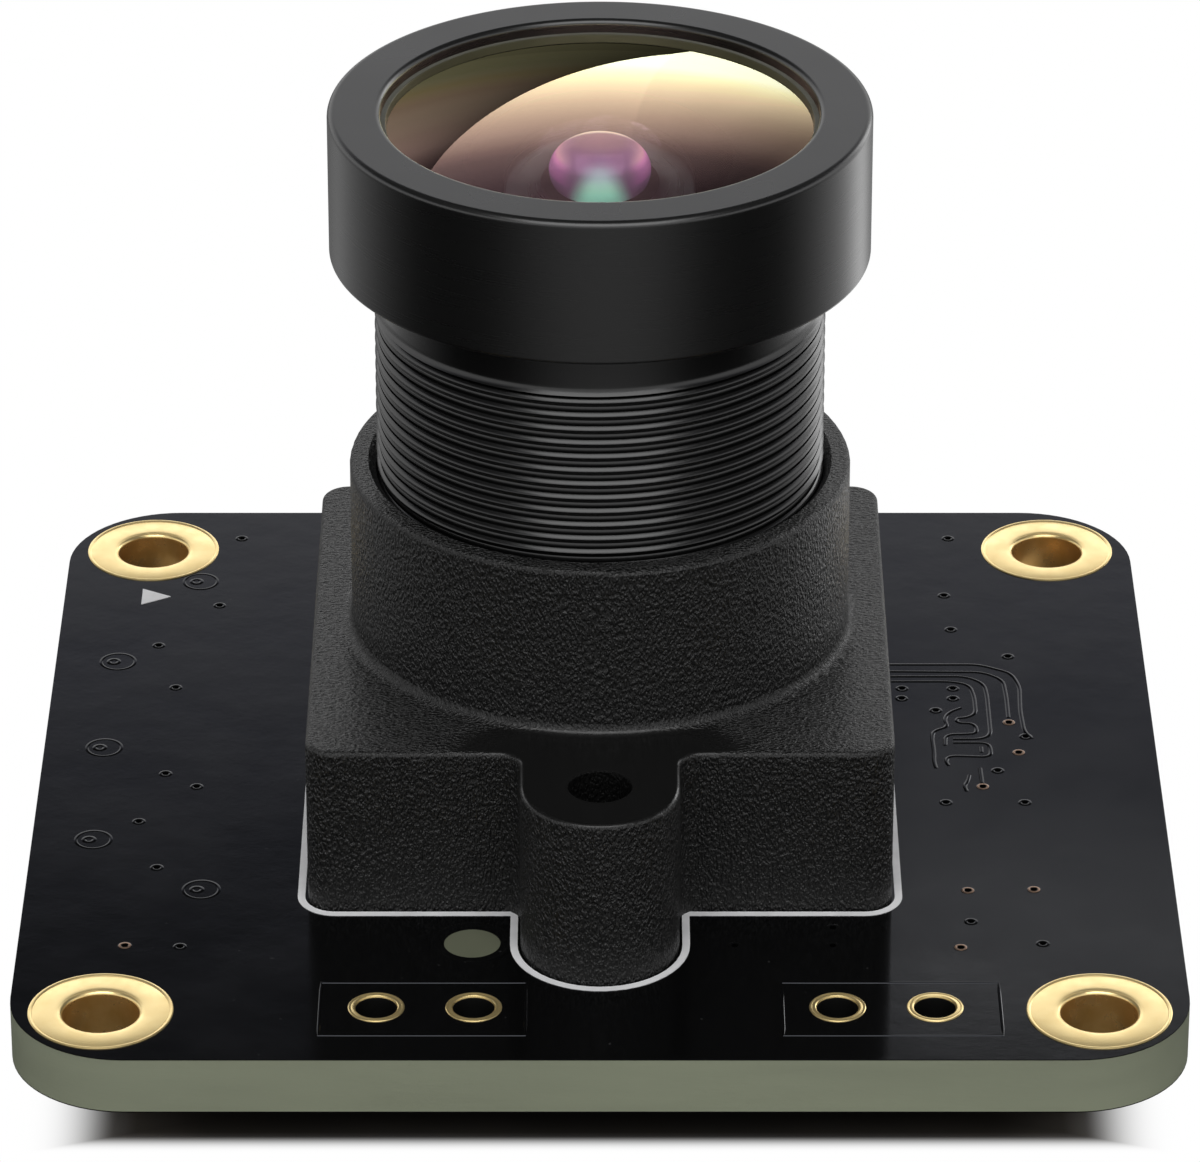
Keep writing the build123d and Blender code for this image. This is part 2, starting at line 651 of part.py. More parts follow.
def chip_package(place, length, width, height):
    """Moulded chip body on the underside, its long side along X, with a corner dimple."""
    x, y = place
    face = -CHIP_STANDOFF - height
    with BuildPart() as package:
        with BuildSketch(Plane(origin=(x, y, face))):
            Rectangle(length, width)
        extrude(amount=height)
        chamfer(package.faces().sort_by(Axis.Z)[0].edges(), CHIP_EDGE_CHAMFER)
        corner = (x - length / 2 + CHIP_DIMPLE_INSET, y - width / 2 + CHIP_DIMPLE_INSET, face)
        with BuildSketch(Plane(origin=corner)):
            Circle(CHIP_DIMPLE_DIAMETER / 2)
        extrude(amount=CHIP_DIMPLE_DEPTH, mode=Mode.SUBTRACT)
    return package


def chip_leads(place, reach, height, pitch, pins, lead_width, sides):
    """Bent leads that leave the chip body at mid height and stand on the board."""
    exit_z = -CHIP_STANDOFF - height / 2
    bend = LEAD_SHOULDER
    with BuildPart() as leads:
        for angle in sides:
            side = Plane(origin=(place[0], place[1], 0), z_dir=(0, 0, 1)).rotated((0, 0, angle))
            start = -(pins - 1) * pitch / 2 - lead_width / 2
            for pin in range(pins):
                along = start + pin * pitch
                origin = side.from_local_coords((0, along, 0))
                section = Plane(origin=origin, x_dir=side.x_dir, z_dir=-side.y_dir)
                with BuildSketch(section):
                    with BuildLine():
                        Polyline(
                            (reach, exit_z - LEAD_THICKNESS / 2),
                            (reach + bend, exit_z - LEAD_THICKNESS / 2),
                            (reach + bend, -LEAD_THICKNESS),
                            (reach + bend + LEAD_FOOT, -LEAD_THICKNESS),
                            (reach + bend + LEAD_FOOT, 0),
                            (reach + bend - LEAD_THICKNESS, 0),
                            (reach + bend - LEAD_THICKNESS, exit_z + LEAD_THICKNESS / 2),
                            (reach, exit_z + LEAD_THICKNESS / 2),
                            close=True,
                        )
                    make_face()
                extrude(amount=-lead_width)
    return leads


def build_chips():
    centre = (0.0, 0.0)
    keep(
        chip_package(centre, PROCESSOR_WIDTH, PROCESSOR_WIDTH, PROCESSOR_HEIGHT),
        "processor_package",
    )
    processor_leads = chip_leads(
        centre,
        PROCESSOR_WIDTH / 2,
        PROCESSOR_HEIGHT,
        PROCESSOR_PITCH,
        PROCESSOR_PINS,
        PROCESSOR_LEAD_WIDTH,
        (0, 90, 180, 270),
    )
    keep(processor_leads, "processor_leads")
    keep(chip_package(MEMORY_PLACE, MEMORY_WIDTH, MEMORY_LENGTH, MEMORY_HEIGHT), "memory_package")
    memory_leads = chip_leads(
        MEMORY_PLACE,
        MEMORY_WIDTH / 2,
        MEMORY_HEIGHT,
        MEMORY_PITCH,
        MEMORY_PINS,
        MEMORY_LEAD_WIDTH,
        (0, 180),
    )
    keep(memory_leads, "memory_leads")
    for name, place in zip(("rear", "front"), REGULATOR_PLACES):
        keep(
            chip_package(place, REGULATOR_LENGTH, REGULATOR_WIDTH, REGULATOR_HEIGHT),
            f"regulator_package_{name}",
        )
        regulator_leads = chip_leads(
            place,
            REGULATOR_WIDTH / 2,
            REGULATOR_HEIGHT,
            REGULATOR_PITCH,
            REGULATOR_PINS,
            REGULATOR_LEAD_WIDTH,
            (90, 270),
        )
        keep(regulator_leads, f"regulator_leads_{name}")


def build_inductors():
    groove = INDUCTOR_CORE_DIAMETER / 2 + INDUCTOR_GROOVE_WIDTH
    for name, place in zip(("rear", "front"), INDUCTOR_PLACES):
        with BuildPart() as inductor:
            with BuildSketch(Plane.XY.offset(-INDUCTOR_HEIGHT)):
                with Locations(place):
                    Rectangle(INDUCTOR_WIDTH, INDUCTOR_WIDTH)
            extrude(amount=INDUCTOR_HEIGHT)
            chamfer(inductor.edges().filter_by(Axis.Z), INDUCTOR_CORNER_CHAMFER)
            with BuildSketch(Plane.XY.offset(-INDUCTOR_HEIGHT)):
                with Locations(place):
                    Circle(groove)
                    Circle(INDUCTOR_CORE_DIAMETER / 2, mode=Mode.SUBTRACT)
            extrude(amount=INDUCTOR_GROOVE_DEPTH, mode=Mode.SUBTRACT)
            with BuildSketch():
                with Locations(place):
                    with GridLocations(INDUCTOR_WIDTH, 0, 2, 1):
                        Rectangle(2 * TERMINAL_LENGTH, INDUCTOR_WIDTH)
            extrude(amount=-TERMINAL_HEIGHT, mode=Mode.SUBTRACT)
        keep(inductor, f"power_inductor_{name}")

    inset = INDUCTOR_WIDTH / 2 - TERMINAL_LENGTH / 2
    terminal_width = INDUCTOR_WIDTH - 2 * INDUCTOR_CORNER_CHAMFER
    with BuildPart() as terminals:
        with BuildSketch():
            with Locations(*INDUCTOR_PLACES):
                with GridLocations(2 * inset, 0, 2, 1):
                    Rectangle(TERMINAL_LENGTH, terminal_width)
        extrude(amount=-TERMINAL_HEIGHT)
    keep(terminals, "inductor_terminals")


def build_crystal():
    with BuildPart() as crystal:
        with BuildSketch():
            with Locations(CRYSTAL_PLACE):
                Rectangle(CRYSTAL_LENGTH, CRYSTAL_WIDTH)
        extrude(amount=-CRYSTAL_BASE_HEIGHT)
        with BuildSketch(Plane.XY.offset(-CRYSTAL_BASE_HEIGHT)):
            with Locations(CRYSTAL_PLACE):
                RectangleRounded(
                    CRYSTAL_LENGTH - 2 * CRYSTAL_LID_INSET,
                    CRYSTAL_WIDTH - 2 * CRYSTAL_LID_INSET,
                    CRYSTAL_LID_ROUND,
                )
        extrude(amount=-CRYSTAL_LID_HEIGHT)
    keep(crystal, "crystal")


def build_small_chips():
    """Chip capacitors and resistors: a plain body between two metal end caps."""
    for name, size, cap, places in (
        ("capacitor", CAPACITOR_SIZE, CAPACITOR_END_CAP, CAPACITOR_PLACES),
        ("resistor", RESISTOR_SIZE, RESISTOR_END_CAP, RESISTOR_PLACES),
    ):
        length, width, height = size
        with BuildPart() as bodies:
            with BuildSketch():
                with Locations(*places):
                    Rectangle(length - 2 * cap, width)
            extrude(amount=-height)
        keep(bodies, f"{name}_bodies")
        with BuildPart() as caps:
            with BuildSketch():
                with Locations(*places):
                    with GridLocations(length - cap, 0, 2, 1):
                        Rectangle(cap, width)
            extrude(amount=-height)
        keep(caps, f"{name}_end_caps")


def build_connector():
    mouth = -BOARD_WIDTH / 2 - CONNECTOR_OVERHANG
    back = mouth + CONNECTOR_DEPTH
    cavity_depth = CONNECTOR_DEPTH - CONNECTOR_BACK_WALL
    width = (CONNECTOR_PINS - 1) * CONNECTOR_PITCH + 2 * CONNECTOR_END_MARGIN
    inner_width = width - 2 * CONNECTOR_WALL
    inner_height = CONNECTOR_HEIGHT - 2 * CONNECTOR_WALL
    mouth_plane = Plane(origin=(mouth, 0, -CONNECTOR_HEIGHT / 2), x_dir=(0, 1, 0), z_dir=(1, 0, 0))
    contact_z = CONNECTOR_HEIGHT / 2 - CONNECTOR_CONTACT_HEIGHT
    contact_slot = CONTACT_THICKNESS + 2 * CONTACT_FIT
    with BuildPart() as housing:
        with BuildSketch(mouth_plane):
            Rectangle(width, CONNECTOR_HEIGHT)
        extrude(amount=CONNECTOR_DEPTH)
        with BuildSketch(mouth_plane):
            Rectangle(inner_width, inner_height)
        extrude(amount=cavity_depth, mode=Mode.SUBTRACT)
        with BuildSketch(mouth_plane):
            with Locations((0, -CONNECTOR_HEIGHT / 2 + CONNECTOR_WALL / 2)):
                with GridLocations(inner_width - 2 * CONNECTOR_KEY_WIDTH, 0, 2, 1):
                    Rectangle(CONNECTOR_KEY_WIDTH, CONNECTOR_WALL)
        extrude(amount=CONNECTOR_KEY_LENGTH, mode=Mode.SUBTRACT)
        with BuildSketch(mouth_plane):
            with Locations((0, contact_z)):
                with GridLocations(CONNECTOR_PITCH, 0, CONNECTOR_PINS, 1):
                    Rectangle(contact_slot, contact_slot)
        extrude(amount=CONNECTOR_DEPTH, mode=Mode.SUBTRACT)
    keep(housing, "connector_housing")

    tip = mouth + CONTACT_MARGIN
    bend = back + CONTACT_THICKNESS
    level = -CONNECTOR_CONTACT_HEIGHT
    half = CONTACT_THICKNESS / 2
    with BuildPart() as contacts:
        for pin in range(CONNECTOR_PINS):
            y = (pin - (CONNECTOR_PINS - 1) / 2) * CONNECTOR_PITCH
            with BuildSketch(Plane.XZ.offset(-y)):
                with BuildLine():
                    Polyline(
                        (tip, level - half),
                        (bend + half, level - half),
                        (bend + half, -CONTACT_THICKNESS),
                        (back + CONTACT_TAIL, -CONTACT_THICKNESS),
                        (back + CONTACT_TAIL, 0),
                        (bend - half, 0),
                        (bend - half, level + half),
                        (tip, level + half),
                        close=True,
                    )
                make_face()
            extrude(amount=half, both=True)
    keep(contacts, "connector_contacts")

    with BuildPart() as tabs:
        with BuildSketch(Plane.XY):
            with Locations((mouth + CONNECTOR_DEPTH / 2, 0)):
                with GridLocations(0, width + TAB_WIDTH, 1, 2):
                    Rectangle(TAB_LENGTH, TAB_WIDTH)
        extrude(amount=-TAB_THICKNESS)
        with BuildSketch(Plane.XY):
            with Locations((mouth + CONNECTOR_DEPTH / 2, 0)):
                with GridLocations(0, width + TAB_THICKNESS, 1, 2):
                    Rectangle(TAB_LENGTH, TAB_THICKNESS)
        extrude(amount=-TAB_HEIGHT)
    keep(tabs, "connector_tabs")


build_board()
build_plated_holes()
build_print()
build_holder()
build_holder_screws()
build_sensor()
build_barrel()
build_cap()
build_front_glass()
build_lens_stack()
build_chips()
build_inductors()
build_crystal()
build_small_chips()
build_connector()
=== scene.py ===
"""Looks of the board camera: finishes, fine relief and the lens glass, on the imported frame."""

import json
from math import acos, asin, cos, pi, radians, sin, sqrt, tan

import bmesh
import bpy
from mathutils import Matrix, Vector


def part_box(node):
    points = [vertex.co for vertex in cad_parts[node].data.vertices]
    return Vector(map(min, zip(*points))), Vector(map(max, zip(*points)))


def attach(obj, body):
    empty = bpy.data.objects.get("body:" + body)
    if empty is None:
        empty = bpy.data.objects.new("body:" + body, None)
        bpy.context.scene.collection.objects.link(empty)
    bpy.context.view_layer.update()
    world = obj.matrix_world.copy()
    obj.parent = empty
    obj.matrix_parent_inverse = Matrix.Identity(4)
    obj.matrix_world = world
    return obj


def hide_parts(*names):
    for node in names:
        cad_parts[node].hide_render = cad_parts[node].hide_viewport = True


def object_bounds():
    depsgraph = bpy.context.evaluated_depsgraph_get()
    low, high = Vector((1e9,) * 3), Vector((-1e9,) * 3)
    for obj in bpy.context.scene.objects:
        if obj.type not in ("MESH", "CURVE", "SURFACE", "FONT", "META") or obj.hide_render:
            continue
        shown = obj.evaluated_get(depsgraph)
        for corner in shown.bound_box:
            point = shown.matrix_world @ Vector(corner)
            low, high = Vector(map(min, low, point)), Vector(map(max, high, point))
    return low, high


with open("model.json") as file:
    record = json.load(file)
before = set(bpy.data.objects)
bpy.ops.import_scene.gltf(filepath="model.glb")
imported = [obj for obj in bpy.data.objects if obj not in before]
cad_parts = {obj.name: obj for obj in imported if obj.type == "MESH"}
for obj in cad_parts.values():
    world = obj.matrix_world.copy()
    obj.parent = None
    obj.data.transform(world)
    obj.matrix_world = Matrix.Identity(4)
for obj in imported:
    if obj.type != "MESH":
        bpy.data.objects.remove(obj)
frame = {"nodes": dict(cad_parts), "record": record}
cad_low, cad_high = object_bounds()

MM = 0.001

# Camera, solved from the photograph
CAMERA_PLACE = (0.0, -179.517, 101.759)
CAMERA_TILT = radians(62.279)
CAMERA_LENS = 223.58
CAMERA_SENSOR = 36.0

# Studio: the plain fill, and what satin surfaces mirror of the wall, by height
FILL = 0.3
WALL_SPAN = (0.4, 1.0)
WALL_FADE = (
    (0.017, 1.0), (0.042, 0.88), (0.104, (0.425, 0.43, 0.505)), (0.14, (0.2, 0.21, 0.253)),
    (0.177, (0.05, 0.054, 0.065)), (0.2, 0.026), (0.34, 0.03), (1.0, 0.15),
)

# What clear glass mirrors: panels with a bent left edge, the gaps between them, and overhead
PANEL_START = 0.049
PANEL_EDGE = 0.0595
PANEL_BASE = radians(5)
PANEL_LEAN = 0.1402
PANEL_BEND = 0.484
PANEL_WIDTH = radians(75)
PANEL_SPACING = radians(120)
PANEL_LEVELS = (
    (0.0, 0.96), (0.018, 0.9), (0.035, 0.78), (0.052, 0.68), (0.068, 0.53), (0.085, 0.4),
    (0.102, 0.28), (0.135, 0.22), (0.25, 0.5), (0.5, 1.0), (0.9, 1.1), (1.0, 1.05),
)
PANEL_TOP = (0.83, 0.9)
PANEL_TOP_TONES = ((0.0, 1.0), (1.0, 0.4))
ZENITH_SPAN = (0.86, 0.94)
ZENITH_TONE = (0.38, 0.36, 0.38)
MIRROR_GAIN = 1.4
GAP_RISE = radians(30)
GAP_TONES = (
    (0.0, (0.0136, 0.0126, 0.0095)), (0.17, (0.0143, 0.0133, 0.0099)),
    (0.33, (0.0195, 0.0165, 0.0135)), (0.5, (0.029, 0.0255, 0.028)),
    (0.667, (0.05, 0.0485, 0.052)), (0.833, (0.085, 0.083, 0.089)), (1.0, (0.15, 0.146, 0.157)),
)
GAP_FLOOR_TONE = (0.0112, 0.0104, 0.0078)
GAP_GAIN = 21.8
GAP_PEAK = 6.0

# The floor: its image in satin surfaces from the front round to the back, darkened under the board
# as painted shade, and a painted shadow in its own colour under the board
FLOOR_SIZE = 4.0
FLOOR_MIRROR = (
    (0.0, 0.4), (0.022, 0.34), (0.075, 0.165), (0.135, 0.04), (0.25, 0.013), (0.4, 0.03),
    (0.55, 0.25), (0.66, 0.5), (0.86, 0.76), (0.95, 0.25),
)
FLOOR_PATCH = (30.0, 46.0)
FLOOR_EDGE = 0.3
# Span in mm over which the floor's mirror image darkens under the board: painted shade
FLOOR_PAINTED_SHADE = (12.0, 19.0)
FLOOR_LEAN = 0.3
RIGHT_SIDE = (0.5, 0.65)
RIGHT_BACK = (0.4, 0.75)
RIGHT_BOOST = 1.4
SHADOW_REACH_X = (10.4, 15.6)
SHADOW_REACH_Y = (10.9, 12.7)
SHADOW_END = 0.45
# Paper tones from under the board outward: a painted shadow
PAINTED_SHADOW_FADE = (
    (0.0, (0.05, 0.046, 0.041)), (0.3, (0.075, 0.068, 0.06)), (0.6, (0.25, 0.24, 0.23)),
    (1.0, 0.93),
)

# Lamps: azimuth and elevation in degrees, distance, width and height in metres, radiance
BALL_LIGHT = 28.0
LAMPS = {
    "key_front": (0, 50, 0.4, 0.42, 0.3, 3.0),
    "right_rim": (140, 4, 0.4, 0.12, 0.3, 2.1),
    "board_sheen": (172.3, 30.2, 0.388, 0.05, 0.012, 1.0),
    "ball_glow_left": (-55, 25, 0.4, 0.1, 0.1, BALL_LIGHT),
    "ball_glow_right": (55, 25, 0.4, 0.1, 0.1, BALL_LIGHT),
    "plating_top": (180, 26, 0.4, 0.4, 0.22, 0.95),
}
LAMP_TARGET = 10.0

# Sizes in millimetres: board, thread, lens and holder. Most are those of the solids
BOARD_CORNER_RADIUS = 3.1
BOARD_THICKNESS = 1.6
MASK_THICKNESS = 0.03
MOUNT_HALF = 13.0
MOUNT_HOLE_RADIUS = 1.1
HEADER_HOLE_RADIUS = 0.6
HEADER_Y = -12.8
HEADER_CENTRES = (-4.56, 7.46)
HEADER_PITCH = 2.54
SCREW_HOLE_RADIUS = 1.1
SCREW_HOLE_Y = 9.6
FIDUCIAL_PLACE = (-3.38, -9.5)
FIDUCIAL_RADIUS = 0.75
VIA_RADIUS = 0.1
THREAD_PITCH = 0.4
THREAD_LOW = 7.8
THREAD_START = 7.4
THREAD_CREST = 6.02
RUN_OUT = 15.987
FLARE_DEPTH = 0.1
FLARE_HEIGHT = 0.24
NECK_LOW = 16.6
THREAD_LEAD_IN = 0.3
THREAD_LEAD_OUT = 0.03
REAR_BORE = 3.6
REAR_BORE_TOP = 8.3
STACK_BORE = 4.6
FRONT_SEAT = 18.19
FRONT_SEAT_RADIUS = 5.97
CAP_DROP = 0.11
CAP_WALL = 0.48
CAP_LIP_DEPTH = 0.6
MOUTH_RADIUS = 5.8
FRONT_DOME = (22.0, 5.7)  # radius of the curve and of its edge, as for the hollow
FRONT_HOLLOW = (3.4, 3.2)
FRONT_THICKNESS = 1.1
BALL_WIDTH = 1.72
BALL_RISE = 2.0
BALL_LIFT = 0.05
BALL_FOOT = 1.0
LUG_TOP = 6.4
LUG_HOLE_RADIUS = 0.84
LUG_HALF_WIDTH = 2.1
BODY_HALF = 7.8
INNER_CORNER = 0.6
EDGE_ROUND = 0.15
TRACE_WIDTH = 0.12
TRACE_BEND = 0.3
FRAME_WIDTH = 0.09
RIDGE_HEIGHT = 0.02
FRAMES = (((-7.3, -14.2), (-1.94, -11.54)), ((4.76, -14.2), (10.44, -11.54)))

# Meshes: points on each rounded form, and the angle from which an edge is sharp
LATHE_SEGMENTS = 256
DOME_STEPS = 40
SUPPORT = 0.015
SHARP_EDGE = radians(32)

# Finishes
GLASS_IOR = 1.5
GLOSS_SPREAD = 0.06
GRAIN_HEIGHT = 0.046
GRAIN_STRETCH = (1.0, 1.0, 0.48)
GRAIN_DENSITY = 15.5
RIPPLE_STRETCH = (0.66, 1.35, 1.0)
RIPPLE_DENSITY = 13.5
GRAIN_CONTRAST = (0.36, 0.64)
GRAIN_FROM_HOLE = (2.9, 5.4)
LEVEL_FACE = (0.45, 0.75)
EDGE_WEAR = 0.45
BORE_FROM_HOLE = (1.9, 1.6)
MOULDED_ROUGHNESS = 0.48
MOULDED_SPECULAR = 0.5
BORE_SPECULAR = 0.08
AMBER_TONES = (
    (0.1, (0.11, 0.075, 0.1)), (0.3, (0.0357, 0.0214, 0.0236)), (0.42, (0.0357, 0.0214, 0.0236)),
    (0.45, (0.0607, 0.0379, 0.0386)), (0.48, (0.0871, 0.055, 0.0521)),
    (0.5, (0.139, 0.0871, 0.0764)), (0.53, (0.25, 0.166, 0.132)), (0.565, (0.357, 0.246, 0.18)),
    (0.6, (0.486, 0.354, 0.241)), (0.64, (0.68, 0.52, 0.335)), (0.67, (0.83, 0.67, 0.4)),
    (0.7, (0.93, 0.86, 0.5)), (0.73, (0.96, 0.96, 0.68)),
)
GHOST_TONES = ((0.0, (0.0143, 0.0086, 0.0143)), (1.0, (0.114, 0.086, 0.1)))
# Painted reflections on the inner glass, by which way its surface faces: in front, at the sides,
# and between
BALL_FRONT_TONES = (
    (0.4, (0.29, 0.72, 0.55)), (0.53, (0.306, 0.732, 0.558)), (0.58, (0.34, 0.7, 0.527)),
    (0.64, (0.36, 0.62, 0.52)), (0.7, (0.33, 0.455, 0.463)), (0.785, (0.26, 0.298, 0.343)),
    (0.817, (0.21, 0.16, 0.23)), (0.87, (0.134, 0.06, 0.15)), (0.928, (0.17, 0.09, 0.14)),
    (0.98, (0.2, 0.1, 0.13)),
)
BALL_SIDE_TONES = (
    (0.45, (0.06, 0.03, 0.06)), (0.555, (0.116, 0.053, 0.12)), (0.59, (0.22, 0.068, 0.19)),
    (0.693, (0.316, 0.1, 0.26)), (0.725, (0.476, 0.148, 0.343)), (0.75, (0.62, 0.2, 0.427)),
    (0.79, (0.66, 0.32, 0.39)), (0.86, (0.4, 0.2, 0.27)), (0.93, (0.3, 0.16, 0.21)),
)
BALL_DARK_TONES = (
    (0.7, (0.115, 0.06, 0.115)), (0.78, (0.21, 0.1, 0.2)), (0.87, (0.17, 0.07, 0.16)),
    (0.95, (0.18, 0.09, 0.13)),
)
BALL_MIDDLE = (0.6, 0.18)
BALL_SIDES = (0.45, 0.8)
BALL_HIGHLIGHT_SPAN = (0.55, 0.75)
BALL_PAINTED_HIGHLIGHT = (1.0, 0.85, 0.65)

# The thread's turns, the share of a turn in which its run-out steps back, and the profile of one
# pitch, upward from the crest: height and depth in millimetres
THREAD_TURNS = 24
THREAD_SEAM = 0.08
THREAD_PROFILE = (
    (0.0, 0.0), (0.03, 0.014), (0.06, 0.038), (0.092, 0.077), (0.096, 0.2), (0.185, 0.2),
    (0.187, 0.065), (0.22, 0.07), (0.253, 0.085),
)

# Plated hole profiles, from the outer edge inward: radius and height over the board
MOUNT_RING = (
    (1.9, 0.0), (1.9, 0.02), (1.885, 0.032), (1.855, 0.038), (1.825, 0.034), (1.803, 0.018),
    (1.79, 0.01), (1.775, 0.015), (1.21, 0.017), (1.15, 0.014), (1.1, 0.005), (1.055, -0.015),
    (1.02, -0.045), (1.005, -0.09), (1.0, -0.17),
)
SOLDER_RING = (
    (0.74, 0.0), (0.738, 0.014), (0.72, 0.028), (0.69, 0.03), (0.665, 0.018), (0.65, 0.02),
    (0.62, 0.032), (0.585, 0.03), (0.56, 0.012), (0.545, -0.03), (0.54, -0.1),
)

# Vias through the board, left and right of the holder
VIAS = (
    (-10.46, 13.75), (-10.92, 9.57), (-12.54, 7.14), (-11.93, 4.64), (-11.96, -0.32),
    (-11.07, -1.05), (-12.55, -2.99), (-11.93, -5.5), (-11.1, -9.68),
    (10.16, 13.75), (9.9, 10.18), (10.01, 8.1), (11.56, 6.48), (8.49, 4.58), (8.46, 4.0),
    (9.92, 4.58), (9.9, 4.0), (9.39, 3.3), (11.83, 1.79), (10.96, -0.15), (9.46, -1.94),
    (11.62, -1.94), (9.86, -8.38), (11.71, -9.53), (3.56, -9.63), (6.18, -8.69), (6.15, -9.63),
)
COPPER_VIAS = (
    (-12.56, -9.63), (11.4, 2.6), (11.59, 0.88), (10.51, -1.05), (9.85, -6.73),
    (11.62, -6.68), (9.53, -9.73),
)
TEST_PADS = ((-11.65, 11.05), (-13.76, 6.18), (-13.86, 1.16), (-13.85, -3.98), (-10.8, -6.68))

# Traces under the mask on the right of the board, from the holder outward
TRACES = (
    ((7.9, 6.0), (10.7, 6.0), (11.6, 5.5), (11.8, 4.7), (11.75, 3.3), (11.8, 2.1), (12.0, 1.7)),
    ((7.9, 5.6), (10.8, 5.55), (11.35, 5.1), (11.4, 4.1), (11.4, 2.9)),
    ((7.9, 5.3), (10.3, 5.3), (10.8, 4.9), (10.86, 4.2), (10.86, 1.9), (10.6, 1.65), (9.8, 1.65)),
    (
        (7.9, 5.0), (9.9, 5.0), (10.4, 4.8), (10.5, 4.1), (10.5, 3.1), (10.2, 2.87), (9.95, 2.87),
        (9.95, 2.57), (10.45, 2.57), (10.5, 2.0), (10.2, 1.93), (9.6, 1.93), (9.57, 1.3),
    ),
    (
        (10.1, 3.45), (9.75, 3.2), (9.6, 2.8), (9.7, 2.35), (9.3, 2.15), (9.22, 1.8), (9.25, 0.9),
        (9.22, 0.4), (9.27, 0.0),
    ),
    (
        (9.8, 1.44), (10.75, 1.44), (10.83, 1.1), (10.8, 0.62), (9.65, 0.7), (9.55, 0.4),
        (9.62, 0.15),
    ),
    ((10.56, 1.2), (10.56, 0.9)),
    ((10.48, 0.0), (10.5, -0.85)),
    ((10.16, -0.4), (10.1, -0.76), (10.0, -1.0), (10.06, -1.3)),
)


# Node materials


def new_material(name):
    """An empty node material, its node tree and its output."""
    mat = bpy.data.materials.new(name)
    mat.use_nodes = True
    tree = mat.node_tree
    tree.nodes.clear()
    output = tree.nodes.new("ShaderNodeOutputMaterial")
    return mat, tree, output


def node(tree, kind, links=None, **values):
    """Add a node. values are properties or input defaults, links are input name to socket."""
    made = tree.nodes.new(kind)
    for key, value in values.items():
        if hasattr(made, key):
            setattr(made, key, value)
        else:
            made.inputs[key.replace("_", " ")].default_value = value
    for key, source in (links or {}).items():
        tree.links.new(source, made.inputs[key])
    return made


def ramp(tree, source, stops):
    """A colour ramp fed by source. stops are (position, grey level or colour)."""
    made = tree.nodes.new("ShaderNodeValToRGB")
    tree.links.new(source, made.inputs["Fac"])
    elements = made.color_ramp.elements
    while len(elements) < len(stops):
        elements.new(0.5)
    for element, (position, colour) in zip(elements, stops):
        element.position = position
        if not isinstance(colour, tuple):
            colour = (colour, colour, colour)
        element.color = (*colour, 1.0)
    return made.outputs["Color"]


def math_node(tree, operation, first, second=None, third=None):
    """A math node of sockets or numbers, as its output socket."""
    made = node(tree, "ShaderNodeMath", operation=operation)
    for place, value in enumerate((first, second, third)):
        if value is None:
            continue
        if isinstance(value, (int, float)):
            made.inputs[place].default_value = value
        else:
            tree.links.new(value, made.inputs[place])
    return made.outputs[0]


def stretch_range(tree, value, low, high, smooth=True):
    """value from low to high, as 0 to 1, clamped."""
    made = node(tree, "ShaderNodeMapRange", {"Value": value})
    made.inputs["From Min"].default_value = low
    made.inputs["From Max"].default_value = high
    made.interpolation_type = "SMOOTHSTEP" if smooth else "LINEAR"
    return made.outputs["Result"]


def stretch_mm(tree, value, span):
    """stretch_range over a span in millimetres."""
    return stretch_range(tree, value, span[0] * MM, span[1] * MM)


def pick(tree, choice, first, second):
    """The second colour where choice is 1, else the first. Each is a socket or a plain colour."""
    made = node(tree, "ShaderNodeMix", {"Factor": choice}, data_type="RGBA")
    for place, colour in (("A", first), ("B", second)):
        if isinstance(colour, tuple):
            made.inputs[place].default_value = (*colour, 1.0)
        else:
            tree.links.new(colour, made.inputs[place])
    return made.outputs["Result"]


def split_vector(tree, vector):
    """The three parts of a vector, as sockets."""
    made = node(tree, "ShaderNodeSeparateXYZ", {"Vector": vector})
    return made.outputs["X"], made.outputs["Y"], made.outputs["Z"]


def surface_normal(tree):
    return split_vector(tree, tree.nodes.new("ShaderNodeNewGeometry").outputs["Normal"])


def place_vector(tree, scale=(1.0, 1.0, 1.0)):
    """Object coordinates in millimetres, stretched by scale."""
    coords = tree.nodes.new("ShaderNodeTexCoord")
    mapping = tree.nodes.new("ShaderNodeMapping")
    mapping.inputs["Scale"].default_value = [s / MM for s in scale]
    tree.links.new(coords.outputs["Object"], mapping.inputs["Vector"])
    return mapping.outputs["Vector"]


def noise(tree, vector, scale, detail=3.0, roughness=0.5):
    values = {"Scale": scale, "Detail": detail, "Roughness": roughness}
    return node(tree, "ShaderNodeTexNoise", {"Vector": vector}, **values).outputs["Fac"]


def bump(tree, height, distance, normal=None, strength=None):
    """Bump of the given height in millimetres."""
    made = tree.nodes.new("ShaderNodeBump")
    made.inputs["Distance"].default_value = distance * MM
    for name, source in (("Height", height), ("Normal", normal), ("Strength", strength)):
        if source is not None:
            tree.links.new(source, made.inputs[name])
    return made.outputs["Normal"]


def principled(tree, output, links, colour, roughness, **values):
    """The shader of output. links are input name to socket, values are input defaults."""
    values = {"Base_Color": (*colour, 1.0), "Roughness": roughness, **values}
    made = node(tree, "ShaderNodeBsdfPrincipled", links, **values)
    tree.links.new(made.outputs["BSDF"], output.inputs["Surface"])


